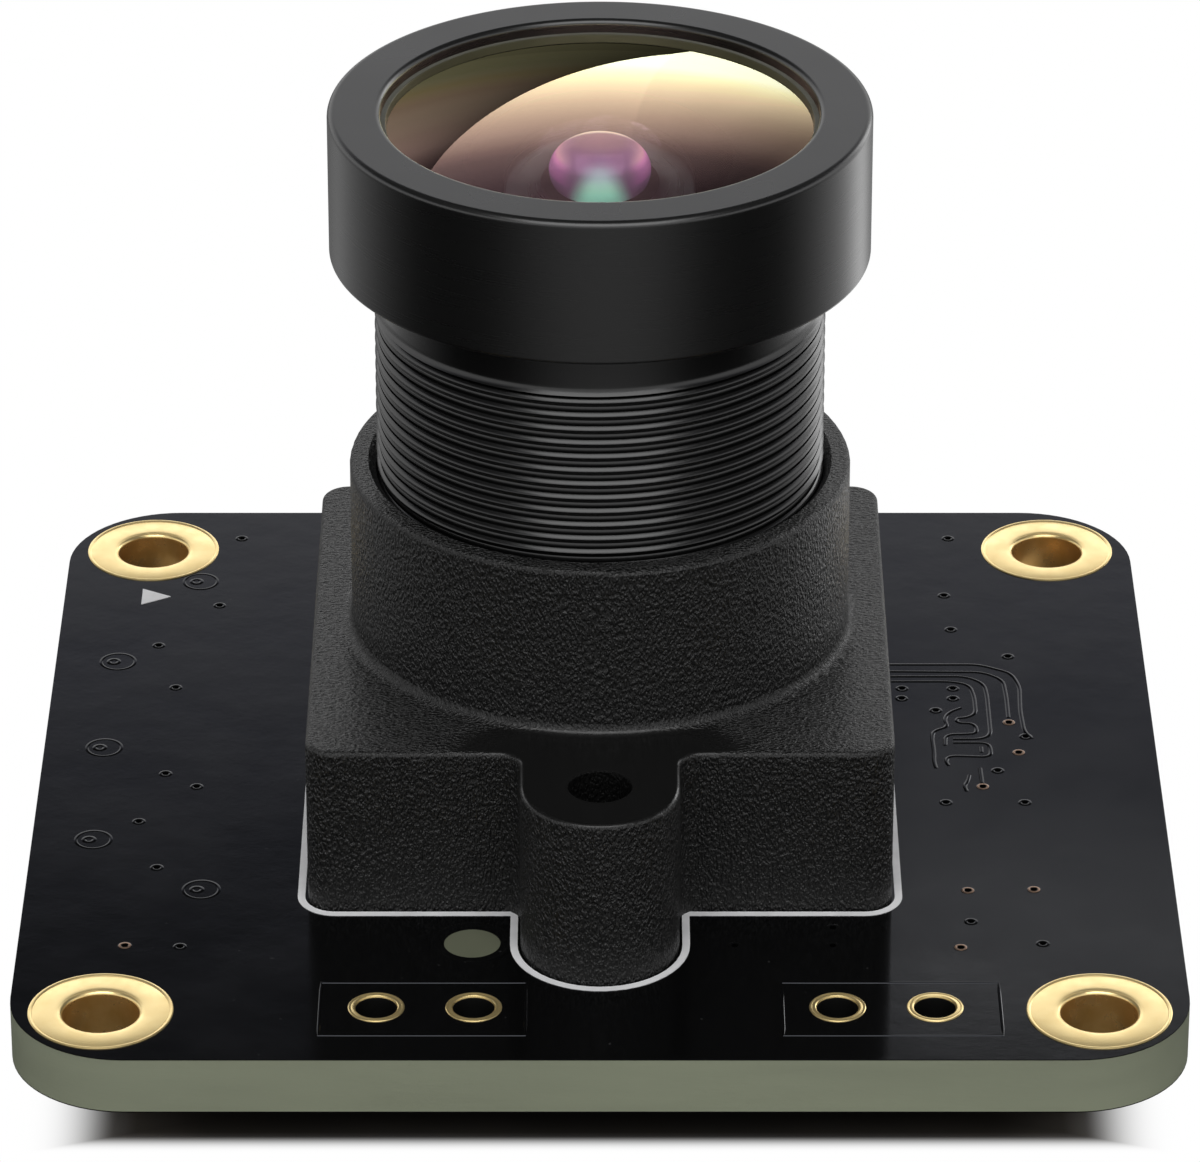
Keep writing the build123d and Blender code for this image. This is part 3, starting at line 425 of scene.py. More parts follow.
def grained(
    name, colour, roughness, grain, grain_height, tint=0.15, stretch=(1, 1, 1), **values
):
    """A finish with fine relief: grain in mm, its height in mm, and uneven gloss and tone."""
    mat, tree, output = new_material(name)
    vector = place_vector(tree, stretch)
    fine = noise(tree, vector, 1 / grain, 4.0)
    broad = noise(tree, vector, 1 / (grain * 12), 2.0)
    spread = ((0.3, roughness - GLOSS_SPREAD), (0.7, roughness + GLOSS_SPREAD))
    low = tuple(c * (1 - tint) for c in colour)
    high = tuple(min(1.0, c * (1 + tint)) for c in colour)
    links = {
        "Roughness": ramp(tree, broad, spread),
        "Base Color": ramp(tree, broad, ((0.3, low), (0.7, high))),
        "Normal": bump(tree, fine, grain_height),
    }
    principled(tree, output, links, colour, roughness, **values)
    return mat


def solder_mask():
    """Satin black mask, faintly uneven over the copper below it, with dust-fine specks."""
    mat, tree, output = new_material("solder_mask")
    vector = place_vector(tree)
    broad = noise(tree, vector, 0.35, 3.0)
    fine = noise(tree, vector, 6.0, 5.0, 0.6)
    dust = noise(tree, vector, 5.5, 1.0)
    links = {
        "Roughness": ramp(tree, broad, ((0.3, 0.1), (0.7, 0.14))),
        "Base Color": ramp(tree, dust, ((0.77, 0.0013), (0.81, 0.02))),
        "Normal": bump(tree, fine, 0.0007, normal=bump(tree, broad, 0.006)),
    }
    black = (0.0012, 0.0012, 0.0014)
    bluish = (0.86, 0.9, 1.0, 1.0)
    values = {"Specular_IOR_Level": 0.45, "IOR": 1.42, "Specular_Tint": bluish}
    principled(tree, output, links, black, 0.12, **values)
    return mat


def moulded():
    """Black moulding with a spark-eroded grain, which is worn along edges and fades out round the
    front lug's screw hole. The hole's bore is dull."""
    mat, tree, output = new_material("moulded_plastic")
    up = math_node(tree, "ABSOLUTE", surface_normal(tree)[2])
    level = stretch_range(tree, up, *LEVEL_FACE)
    sides = noise(tree, place_vector(tree, GRAIN_STRETCH), GRAIN_DENSITY, 1.5)
    ripples = noise(tree, place_vector(tree, RIPPLE_STRETCH), RIPPLE_DENSITY, 1.5)
    links = {"Factor": level, "A": sides, "B": ripples}
    height = node(tree, "ShaderNodeMix", links, data_type="FLOAT").outputs["Result"]
    relief = stretch_range(tree, height, *GRAIN_CONTRAST)

    centre = tree.nodes.new("ShaderNodeTexCoord").outputs["Object"]
    from_hole = node(tree, "ShaderNodeVectorMath", {0: centre}, operation="DISTANCE")
    from_hole.inputs[1].default_value = [v * MM for v in (0.0, -SCREW_HOLE_Y, LUG_TOP)]
    distance = from_hole.outputs["Value"]
    graining = stretch_mm(tree, distance, GRAIN_FROM_HOLE)
    flat = math_node(tree, "MULTIPLY", level, math_node(tree, "SUBTRACT", 1.0, graining))
    turned = math_node(tree, "ABSOLUTE", math_node(tree, "SUBTRACT", up, 0.5))
    edge = math_node(tree, "SUBTRACT", 1.0, stretch_range(tree, turned, 0.25, 0.45))
    worn = math_node(tree, "MULTIPLY", edge, EDGE_WEAR)
    strength = math_node(tree, "SUBTRACT", 1.0, math_node(tree, "MAXIMUM", flat, worn))

    gloss = math_node(tree, "MULTIPLY_ADD", edge, 0.1, MOULDED_ROUGHNESS)
    for share, change in ((relief, -0.12), (level, -0.12), (flat, -0.1)):
        gloss = math_node(tree, "MULTIPLY_ADD", share, change, gloss)
    near_hole = stretch_mm(tree, distance, BORE_FROM_HOLE)
    bore = math_node(tree, "MULTIPLY", near_hole, math_node(tree, "SUBTRACT", 1.0, level))
    change = BORE_SPECULAR - MOULDED_SPECULAR
    links = {
        "Roughness": gloss,
        "Specular IOR Level": math_node(tree, "MULTIPLY_ADD", bore, change, MOULDED_SPECULAR),
        "Normal": bump(tree, relief, GRAIN_HEIGHT, strength=strength),
    }
    principled(tree, output, links, (0.005, 0.005, 0.0049), MOULDED_ROUGHNESS)
    return mat


def anodised(name, roughness, level=0.4):
    """Black anodised aluminium with the finest turning marks round the axis."""
    mat, tree, output = new_material(name)
    marks = noise(tree, place_vector(tree, (0.4, 0.4, 22.0)), 1.0, 2.0)
    fine = noise(tree, place_vector(tree), 26.0, 2.0)
    spread = ((0.3, roughness - 0.01), (0.7, roughness + 0.012))
    links = {"Roughness": ramp(tree, marks, spread), "Normal": bump(tree, fine, 0.0005)}
    black = (0.003, 0.003, 0.003)
    principled(tree, output, links, black, roughness, Specular_IOR_Level=level)
    return mat


def gold(name, low, high, roughness, metallic):
    """Gold plating with slight orange-peel."""
    mat, tree, output = new_material(name)
    vector = place_vector(tree)
    uneven = noise(tree, vector, 2.2, 3.0)
    spread = ((0.3, roughness - 0.05), (0.7, roughness + 0.05))
    links = {
        "Roughness": ramp(tree, uneven, spread),
        "Base Color": ramp(tree, uneven, ((0.3, high), (0.7, low))),
        "Normal": bump(tree, noise(tree, vector, 14.0, 2.0), 0.0006),
    }
    principled(tree, output, links, low, roughness, Metallic=metallic)
    return mat


def coated_glass(name, stops, strength):
    """Clear glass under a coating that adds a mirror image, tinted by how the surface is turned."""
    mat, tree, output = new_material(name)
    facing = node(tree, "ShaderNodeLayerWeight", Blend=0.5).outputs["Facing"]
    links = {"Color": ramp(tree, facing, stops)}
    sheen = node(tree, "ShaderNodeBsdfGlossy", links, Roughness=0.0).outputs[0]
    grey = (strength, strength, strength, 1.0)
    clear = node(tree, "ShaderNodeBsdfRefraction", Color=grey, Roughness=0.0, IOR=GLASS_IOR)
    both = node(tree, "ShaderNodeAddShader", {0: sheen, 1: clear.outputs[0]})
    tree.links.new(both.outputs[0], output.inputs["Surface"])
    return mat


def paint_ball_reflections():
    """The inner glass's colours are painted reflections: green low in front, purple at the sides,
    and a pale painted highlight on top.
    """
    mat, tree, output = new_material("ball_painted_reflections")
    x, _, up = surface_normal(tree)
    height = stretch_range(tree, up, -1.0, 1.0, smooth=False)
    across = math_node(tree, "ABSOLUTE", x)
    front, side, dark = [
        ramp(tree, height, tones) for tones in (BALL_FRONT_TONES, BALL_SIDE_TONES, BALL_DARK_TONES)
    ]
    reach = math_node(tree, "MULTIPLY_ADD", up, 0.35, across)
    middle = pick(tree, stretch_range(tree, reach, *BALL_MIDDLE), dark, front)
    zones = pick(tree, stretch_range(tree, across, *BALL_SIDES), middle, side)
    facing = node(tree, "ShaderNodeLayerWeight", Blend=0.5).outputs["Facing"]
    # A pale painted highlight on top, where the surface faces up and toward the viewer
    crown = stretch_range(tree, math_node(tree, "MULTIPLY", facing, up), *BALL_HIGHLIGHT_SPAN)
    with_painted_highlight = pick(tree, crown, zones, BALL_PAINTED_HIGHLIGHT)
    sheen = node(tree, "ShaderNodeBsdfDiffuse", {"Color": with_painted_highlight})
    tree.links.new(sheen.outputs[0], output.inputs["Surface"])
    return mat


def clear_glass(name, tint):
    mat, tree, output = new_material(name)
    uneven = noise(tree, place_vector(tree), 0.8, 1.0)
    links = {"Roughness": ramp(tree, uneven, ((0.3, 0.01), (0.7, 0.03)))}
    principled(tree, output, links, tint, 0.02, IOR=GLASS_IOR, Transmission_Weight=1.0)
    return mat


# Meshes


def add_object(name, data):
    made = bpy.data.objects.new(name, data)
    bpy.context.scene.collection.objects.link(made)
    return made


def finish_mesh(name, bm, material, body, node_name=None):
    """Turn a bmesh into a piece that rides on a body, smooth except at its sharp edges."""
    bmesh.ops.recalc_face_normals(bm, faces=bm.faces)
    for face in bm.faces:
        face.smooth = True
    for edge in bm.edges:
        edge.smooth = edge.calc_face_angle(0.0) < SHARP_EDGE
    mesh = bpy.data.meshes.new(name)
    bm.to_mesh(mesh)
    bm.free()
    mesh.materials.append(material)
    piece = add_object(name, mesh)
    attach(piece, body)
    if node_name:
        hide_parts(node_name)
    return piece


def rounded(points, steps=4, closed=True):
    """Round a profile's corners. A point is (r, z) or (r, z, radius)."""
    count = len(points)
    result = []
    for i, point in enumerate(points):
        corner = Vector(point[:2])
        radius = point[2] if len(point) > 2 else 0.0
        if not radius or (not closed and i in (0, count - 1)):
            result.append(corner)
            continue
        before = (Vector(points[i - 1][:2]) - corner).normalized()
        after = (Vector(points[(i + 1) % count][:2]) - corner).normalized()
        half = before.angle(after) / 2
        centre = corner + (before + after).normalized() * (radius / sin(half))
        start = corner + before * (radius / tan(half)) - centre
        end = corner + after * (radius / tan(half)) - centre
        turn = start.angle_signed(end)
        result.append(centre + start + before * SUPPORT)
        for step in range(steps + 1):
            angle = -turn * step / steps
            x = start.x * cos(angle) - start.y * sin(angle)
            y = start.x * sin(angle) + start.y * cos(angle)
            result.append(centre + Vector((x, y)))
        result.append(centre + end + after * SUPPORT)
    return [(p[0], p[1]) for p in result]


def lathe_into(bm, profile, closed, centre=(0.0, 0.0), segments=LATHE_SEGMENTS):
    """Revolve (r, z) points round a vertical axis. Points on the axis become poles."""
    rings = []
    for r, z in profile:
        if r < 1e-6:
            rings.append([bm.verts.new((centre[0] * MM, centre[1] * MM, z * MM))])
            continue
        ring = []
        for k in range(segments):
            angle = 2 * pi * k / segments
            x = centre[0] + r * cos(angle)
            y = centre[1] + r * sin(angle)
            ring.append(bm.verts.new((x * MM, y * MM, z * MM)))
        rings.append(ring)
    pairs = list(zip(rings, rings[1:]))
    if closed:
        pairs.append((rings[-1], rings[0]))
    for low, high in pairs:
        for k in range(segments):
            after = (k + 1) % segments
            corners = [low[k % len(low)], low[after % len(low)]]
            corners += [high[after % len(high)], high[k % len(high)]]
            corners = list(dict.fromkeys(corners))
            if len(corners) > 2:
                bm.faces.new(corners)


def join_columns(bm, columns):
    """Faces between neighbouring columns of vertices."""
    for first, second in zip(columns, columns[1:]):
        for row in range(len(first) - 1):
            bm.faces.new((first[row], second[row], second[row + 1], first[row + 1]))


def quarter_round(r, z, radius):
    """Points of a convex quarter round, from upright at r, z to level."""
    turns = [pi / 2 * k / 5 for k in range(6)]
    return [(r + radius * (1 - cos(t)), z + radius * sin(t)) for t in turns]


def dome(radius, edge_r, edge_z):
    """Points from the axis out along a spherical cap that ends at edge_r, edge_z."""
    span = asin(edge_r / radius)
    centre = edge_z - radius * cos(span)
    angles = [span * step / DOME_STEPS for step in range(DOME_STEPS + 1)]
    return [(radius * sin(angle), centre + radius * cos(angle)) for angle in angles]


def disc_outline(x, y, radius, count=48):
    angles = [2 * pi * k / count for k in range(count)]
    return [(x + radius * cos(angle), y + radius * sin(angle)) for angle in angles]


def board_outline():
    """The board's rounded square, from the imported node's box."""
    low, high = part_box("circuit_board")
    half = (high[0] - low[0]) / 2 / MM
    radius = BOARD_CORNER_RADIUS
    points = []
    for quarter, (sx, sy) in enumerate(((1, 1), (-1, 1), (-1, -1), (1, -1))):
        cx = sx * (half - radius)
        cy = sy * (half - radius)
        for step in range(17):
            angle = pi / 2 * (quarter + step / 16)
            points.append((cx + radius * cos(angle), cy + radius * sin(angle)))
    return points


def plate(name, outlines, low, high, material, node_name=None):
    """A flat plate between two heights, cut by every outline after the first."""
    curve = bpy.data.curves.new(name, "CURVE")
    curve.dimensions = "2D"
    curve.fill_mode = "BOTH"
    curve.extrude = (high - low) / 2 * MM
    for outline in outlines:
        spline = curve.splines.new("POLY")
        spline.points.add(len(outline) - 1)
        for point, (x, y) in zip(spline.points, outline):
            point.co = (x * MM, y * MM, 0.0, 1.0)
        spline.use_cyclic_u = True
    holder = add_object(name, curve)
    depsgraph = bpy.context.evaluated_depsgraph_get()
    mesh = bpy.data.meshes.new_from_object(holder.evaluated_get(depsgraph))
    bpy.data.objects.remove(holder)
    bm = bmesh.new()
    bm.from_mesh(mesh)
    bpy.data.meshes.remove(mesh)
    bmesh.ops.remove_doubles(bm, verts=bm.verts, dist=1e-7)
    for vert in bm.verts:
        vert.co.z += (low + high) / 2 * MM
    return finish_mesh(name, bm, material, "board", node_name)


# The board, its relief and the holder's details


def board_holes():
    """Outlines of every hole that runs right through the board."""
    holes = []
    for sx in (-1, 1):
        for sy in (-1, 1):
            holes.append(disc_outline(sx * MOUNT_HALF, sy * MOUNT_HALF, MOUNT_HOLE_RADIUS, 64))
        holes.append(disc_outline(0, sx * SCREW_HOLE_Y, SCREW_HOLE_RADIUS, 48))
        for x in HEADER_CENTRES:
            holes.append(disc_outline(x + sx * HEADER_PITCH / 2, HEADER_Y, HEADER_HOLE_RADIUS, 48))
    for x, y in VIAS + COPPER_VIAS:
        holes.append(disc_outline(x, y, VIA_RADIUS, 16))
    return holes


def make_board(mask, laminate):
    """The laminate between its two masks. Returns the upper mask."""
    holes = board_holes()
    top = BOARD_THICKNESS
    plate(
        "board_laminate", [board_outline(), *holes], MASK_THICKNESS, top - MASK_THICKNESS,
        laminate, "circuit_board",
    )
    fiducial = disc_outline(*FIDUCIAL_PLACE, FIDUCIAL_RADIUS)
    upper = plate(
        "mask_top", [board_outline(), *holes, fiducial], top - MASK_THICKNESS, top, mask
    )
    plate("mask_underside", [board_outline(), *holes], 0.0, MASK_THICKNESS, mask)
    return upper


def smooth_path(points):
    """Points along the given runs, with each corner rounded."""
    runs = [Vector(point) for point in points]
    path = [runs[0]]
    for before, corner, after in zip(runs, runs[1:], runs[2:]):
        start, end = [
            corner.lerp(other, min(0.5, TRACE_BEND / max((other - corner).length, 0.01)))
            for other in (before, after)
        ]
        for step in range(7):
            t = step / 6
            path.append(start.lerp(corner, t).lerp(corner.lerp(end, t), t))
    path.append(runs[-1])
    clean = [path[0]]
    for point in path[1:]:
        if (point - clean[-1]).length > 0.01:
            clean.append(point)
    return clean


def ridge(bm, path, width, closed=False):
    """A low rounded ridge along a path on the board's top face."""
    profile = ((-0.5, 0.0), (-0.32, 0.8), (0.0, 1.0), (0.32, 0.8), (0.5, 0.0))
    count = len(path)
    rows = []
    for i, point in enumerate(path):
        ahead = path[(i + 1) % count] if closed or i < count - 1 else point
        behind = path[i - 1] if closed or i > 0 else point
        along = (ahead - behind).normalized()
        side = Vector((-along.y, along.x))
        row = []
        for across, up in profile:
            place = point + side * (across * width)
            z = BOARD_THICKNESS + up * RIDGE_HEIGHT
            row.append(bm.verts.new((place.x * MM, place.y * MM, z * MM)))
        rows.append(row)
    pairs = list(zip(rows, rows[1:]))
    if closed:
        pairs.append((rows[-1], rows[0]))
    for first, second in pairs:
        for k in range(len(profile)):
            after = (k + 1) % len(profile)
            bm.faces.new((first[k], first[after], second[after], second[k]))
    if not closed:
        bm.faces.new(rows[0])
        bm.faces.new(list(reversed(rows[-1])))


def make_rings(name, profile, places, material, segments):
    """One piece of small raised rings on the board."""
    bm = bmesh.new()
    for place in places:
        lathe_into(bm, profile, True, place, segments)
    finish_mesh(name, bm, material, "board")


def make_relief(mask, copper, fiducial):
    """Traces, pads, via lips and the raised frames round the solder rings."""
    top = BOARD_THICKNESS
    bm = bmesh.new()
    for trace in TRACES:
        ridge(bm, smooth_path(trace), TRACE_WIDTH)
    finish_mesh("trace_relief", bm, mask, "board")

    bm = bmesh.new()
    for low, high in FRAMES:
        corners = [Vector(p) for p in (low, (high[0], low[1]), high, (low[0], high[1]))]
        path = []
        for start, end in zip(corners, corners[1:] + corners[:1]):
            path += [start.lerp(end, k / 8) for k in range(8)]
        ridge(bm, path, FRAME_WIDTH, closed=True)
    finish_mesh("solder_field_frames", bm, mask, "board")

    bore = VIA_RADIUS - 0.012
    lip = (
        (bore, 0.0), (bore, top + 0.005), (VIA_RADIUS + 0.01, top + 0.016), (0.15, top + 0.015),
        (0.19, top), (VIA_RADIUS, top - 0.01), (VIA_RADIUS, 0.0),
    )
    bare = (
        (0.105, top + 0.014), (0.115, top + 0.02), (0.145, top + 0.019), (0.17, top + 0.008),
        (0.13, top + 0.004),
    )
    make_rings("via_lips", lip, VIAS + COPPER_VIAS, mask, 20)
    make_rings("bare_via_lips", bare, COPPER_VIAS, copper, 24)

    bm = bmesh.new()
    ring = ((0.07, top), (0.1, top + 0.014), (0.15, top + 0.016), (0.21, top))
    pad = ((0.43, top), (0.45, top + 0.009), (0.48, top + 0.01), (0.53, top))
    for place in TEST_PADS:
        lathe_into(bm, ring, True, place, 32)
        lathe_into(bm, pad, True, (place[0] + 0.12, place[1]), 48)
    collar = ((0.93, top), (0.97, top + 0.014), (1.02, top + 0.016), (1.1, top))
    lathe_into(bm, collar, True, FIDUCIAL_PLACE, 64)
    finish_mesh("pad_relief", bm, mask, "board")

    bm = bmesh.new()
    low = top - MASK_THICKNESS
    high = low + 0.006
    disc = ((0.0, low), (FIDUCIAL_RADIUS, low), (FIDUCIAL_RADIUS, high), (0.0, high))
    lathe_into(bm, disc, False, FIDUCIAL_PLACE, 64)
    finish_mesh("fiducial_pad", bm, fiducial, "board")


def make_holder_details(material):
    """Rounded lips at the lugs' screw holes, and the corners between the lugs and the body."""
    bm = bmesh.new()
    deep = LUG_TOP - 0.16
    lip = [(LUG_HOLE_RADIUS, deep), *quarter_round(LUG_HOLE_RADIUS, LUG_TOP - 0.045, 0.055)]
    lip += [(0.93, LUG_TOP), (0.93, deep)]
    for side in (1, -1):
        lathe_into(bm, lip, True, (0.0, side * SCREW_HOLE_Y), 48)
    finish_mesh("screw_hole_lips", bm, material, "board")

    shoulder = LUG_TOP - EDGE_ROUND
    wall = [(INNER_CORNER, BOARD_THICKNESS), (INNER_CORNER, shoulder - 0.02)]
    wall += quarter_round(INNER_CORNER, shoulder, EDGE_ROUND)
    wall.append((INNER_CORNER + EDGE_ROUND + 0.16, LUG_TOP + 0.0005))
    bm = bmesh.new()
    for sx in (-1, 1):
        for sy in (-1, 1):
            cx = sx * (LUG_HALF_WIDTH + INNER_CORNER)
            cy = sy * (BODY_HALF + INNER_CORNER)
            columns = []
            for step in range(13):
                x = -sx * cos(pi / 2 * step / 12)
                y = -sy * sin(pi / 2 * step / 12)
                places = [((cx + r * x) * MM, (cy + r * y) * MM, z * MM) for r, z in wall]
                columns.append([bm.verts.new(place) for place in places])
            join_columns(bm, columns)
    finish_mesh("lug_corners", bm, material, "board")


# Turned parts: the lens and the plated rings


def make_cap(material):
    """The head: a satin ring with fine rounded edges."""
    low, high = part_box("front_cap")
    bottom = low[2] / MM - CAP_DROP
    top = high[2] / MM
    outer = high[0] / MM
    skirt = outer - CAP_WALL
    profile = rounded(
        [
            (skirt, bottom, 0.02),
            (outer, bottom, 0.1),
            (outer, top, 0.17),
            (MOUTH_RADIUS, top, 0.14),
            (MOUTH_RADIUS, top - CAP_LIP_DEPTH, 0.02),
            (skirt, top - CAP_LIP_DEPTH, 0.02),
        ],
        steps=8,
    )
    bm = bmesh.new()
    lathe_into(bm, profile, True)
    cap = finish_mesh("front_cap_turned", bm, material, "barrel", "front_cap")
    cap.visible_glossy = False


def make_retaining_ring(material):
    """The thin bevelled ring that holds the front glass in the head."""
    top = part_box("front_cap")[1][2] / MM
    low = top - CAP_LIP_DEPTH
    high = top - 0.36
    profile = rounded(
        [(5.63, low, 0.02), (MOUTH_RADIUS, low), (MOUTH_RADIUS, high), (5.66, high, 0.02)]
    )
    bm = bmesh.new()
    lathe_into(bm, profile, True)
    ring = finish_mesh("retaining_ring", bm, material, "barrel")
    ring.visible_glossy = False


def make_barrel(material):
    """The barrel with a true helical thread outside and plain bores inside."""
    low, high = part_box("lens_barrel")
    rear = low[2] / MM
    flange_top = high[2] / MM
    flange = high[0] / MM
    neck = THREAD_CREST - FLARE_DEPTH
    head_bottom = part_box("front_cap")[0][2] / MM
    profile = rounded(
        [
            (THREAD_CREST, THREAD_LOW),
            (THREAD_CREST - 0.3, rear, 0.05),
            (REAR_BORE, rear, 0.08),
            (REAR_BORE, REAR_BORE_TOP, 0.05),
            (STACK_BORE, REAR_BORE_TOP),
            (STACK_BORE, FRONT_SEAT),
            (FRONT_SEAT_RADIUS, FRONT_SEAT),
            (FRONT_SEAT_RADIUS, flange_top, 0.05),
            (flange, flange_top, 0.05),
            (flange, head_bottom),
            (neck, head_bottom, 0.1),
            (neck, NECK_LOW),
        ],
        closed=False,
    )
    bm = bmesh.new()
    lathe_into(bm, profile, False)
    turns = range(THREAD_TURNS)
    rows = [(turn * THREAD_PITCH + z, depth) for turn in turns for z, depth in THREAD_PROFILE]
    columns = []
    for k in range(LATHE_SEGMENTS + 1):
        share = k / LATHE_SEGMENTS
        angle = 2 * pi * share + pi / 2
        rise = (share - 0.5) * THREAD_PITCH
        top = RUN_OUT + rise * min(1.0, share / THREAD_SEAM, (1 - share) / THREAD_SEAM)
        column = []
        for row_z, depth in rows:
            z = min(max(THREAD_START + row_z + rise, THREAD_LOW), top)
            fade = min(1.0, (z - THREAD_LOW) / THREAD_LEAD_IN, (top - z) / THREAD_LEAD_OUT)
            column.append((THREAD_CREST - depth * fade, z))
        for step in range(1, 9):
            t = step / 8
            column.append((THREAD_CREST - FLARE_DEPTH * (1 - (1 - t) ** 2), top + FLARE_HEIGHT * t))
        column.append((neck, NECK_LOW))
        x = cos(angle) * MM
        y = sin(angle) * MM
        columns.append([bm.verts.new((r * x, r * y, z * MM)) for r, z in column])
    join_columns(bm, columns)
    bmesh.ops.remove_doubles(bm, verts=bm.verts, dist=2e-7)
    bmesh.ops.dissolve_degenerate(bm, edges=bm.edges, dist=1e-8)
    finish_mesh("lens_barrel_turned", bm, material, "barrel", "lens_barrel")


def make_front_glass(coating, inner, edge_ink):
    """The domed front glass. Its hollow has a weaker coating, its side and seat are inked black."""
    low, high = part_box("front_glass")
    apex = high[2] / MM
    edge = high[0] / MM
    radius, dome_edge = FRONT_DOME
    top = apex - (radius - sqrt(radius**2 - dome_edge**2))
    hollow_apex = apex - FRONT_THICKNESS
    hollow_radius, hollow_edge = FRONT_HOLLOW
    hollow_foot = hollow_apex - (hollow_radius - sqrt(hollow_radius**2 - hollow_edge**2))
    inside = dome(hollow_radius, hollow_edge, hollow_foot)[::-1]
    rim = top - 0.03
    seat = low[2] / MM + 0.01
    side = [(dome_edge, rim), (edge, rim), (edge, seat), (hollow_edge + 0.1, seat)]
    bm = bmesh.new()
    lathe_into(bm, dome(radius, dome_edge, top) + side + inside, False)
    for face in bm.faces:
        centre = face.calc_center_median()
        if centre.z < top * MM - 1e-6 and centre.xy.length > hollow_edge * MM * 0.999:
            face.material_index = 2
        elif centre.xy.length < hollow_edge * MM and centre.z < hollow_apex * MM + 1e-6:
            face.material_index = 1
    piece = finish_mesh("front_glass_ground", bm, coating, "glasses", "front_glass")
    piece.data.materials.append(inner)
    piece.data.materials.append(edge_ink)


def make_second_glass(material, shoulder):
    """The small inner glass with its tall crown. Its flat shoulder is inked black."""
    low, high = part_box("second_glass")
    bottom = low[2] / MM
    outer = high[0] / MM
    top = bottom + BALL_FOOT
    middle = high[2] / MM + BALL_LIFT - BALL_RISE
    foot = acos((top - middle) / BALL_RISE)
    turns = [foot * k / 32 for k in range(33)]
    profile = [(BALL_WIDTH * sin(t), middle + BALL_RISE * cos(t)) for t in turns]
    profile += [(outer, top), (outer, bottom), (0.0, bottom)]
    bm = bmesh.new()
    lathe_into(bm, profile, False)
    for face in bm.faces:
        centre = face.calc_center_median()
        if centre.z < (top + 1e-3) * MM and centre.xy.length > BALL_WIDTH * 0.9 * MM:
            face.material_index = 1
    name = "second_glass_moulded"
    piece = finish_mesh(name, bm, material, "glasses", "second_glass")
    piece.data.materials.append(shoulder)
    return piece


def make_ring(node_name, shape, material, painted_shade_bore):
    """A plated sleeve with finely shaped flanges. Its bore gets a darker material: painted shade in
    the hole.
    """
    low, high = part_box(node_name)
    x = (low[0] + high[0]) / 2 / MM
    y = (low[1] + high[1]) / 2 / MM
    wall = shape[-1][0] + 0.08
    upper = [(r, BOARD_THICKNESS + z) for r, z in shape]
    lower = [(r, -z) for r, z in reversed(shape)]
    profile = upper + lower + [(wall, 0.0), (wall, BOARD_THICKNESS)]
    bm = bmesh.new()
    lathe_into(bm, profile, True, (x, y), 96)
    bore = shape[-2][0] + 0.005
    for face in bm.faces:
        centre = face.calc_center_median()
        if (centre.xy / MM - Vector((x, y))).length < bore and face.normal.z < 0.9:
            face.material_index = 1
    piece = finish_mesh(f"{node_name}_plated", bm, material, "board", node_name)
    piece.data.materials.append(painted_shade_bore)
    return piece


# Studio


def panel_edge(tree, rise):
    """The azimuth of a panel's curved left edge at an elevation."""
    lifted = math_node(tree, "MAXIMUM", math_node(tree, "ADD", rise, PANEL_BASE), 0.0)
    bend = math_node(tree, "MULTIPLY", math_node(tree, "MULTIPLY", lifted, lifted), -PANEL_BEND)
    straight = math_node(tree, "MULTIPLY_ADD", lifted, -PANEL_LEAN, PANEL_EDGE)
    return math_node(tree, "ADD", straight, bend)


def panel_window(tree, azimuth, edge):
    """1 in front of a panel, from its left edge on, and the level there. Three panels stand round
    the studio. The gaps between them get paler away from each panel's left edge."""
    past = math_node(tree, "SUBTRACT", azimuth, edge)
    around = math_node(tree, "FLOORED_MODULO", past, PANEL_SPACING)
    window = math_node(tree, "LESS_THAN", around, PANEL_WIDTH)
    before = math_node(tree, "SUBTRACT", PANEL_SPACING, around)
    gap = math_node(tree, "MULTIPLY_ADD", before, GAP_GAIN, 1.0)
    turned = math_node(tree, "SUBTRACT", azimuth, PANEL_START)
    past_start = math_node(tree, "FLOORED_MODULO", turned, PANEL_SPACING)
    place = math_node(tree, "DIVIDE", past_start, PANEL_SPACING)
    links = {
        "Factor": window,
        "A": math_node(tree, "MINIMUM", gap, GAP_PEAK),
        "B": ramp(tree, place, PANEL_LEVELS),
    }
    level = node(tree, "ShaderNodeMix", links, data_type="FLOAT").outputs["Result"]
    return window, math_node(tree, "MULTIPLY", level, MIRROR_GAIN)


def mix_shaders(tree, share, first, second):
    return node(tree, "ShaderNodeMixShader", {0: share, 1: first, 2: second}).outputs[0]


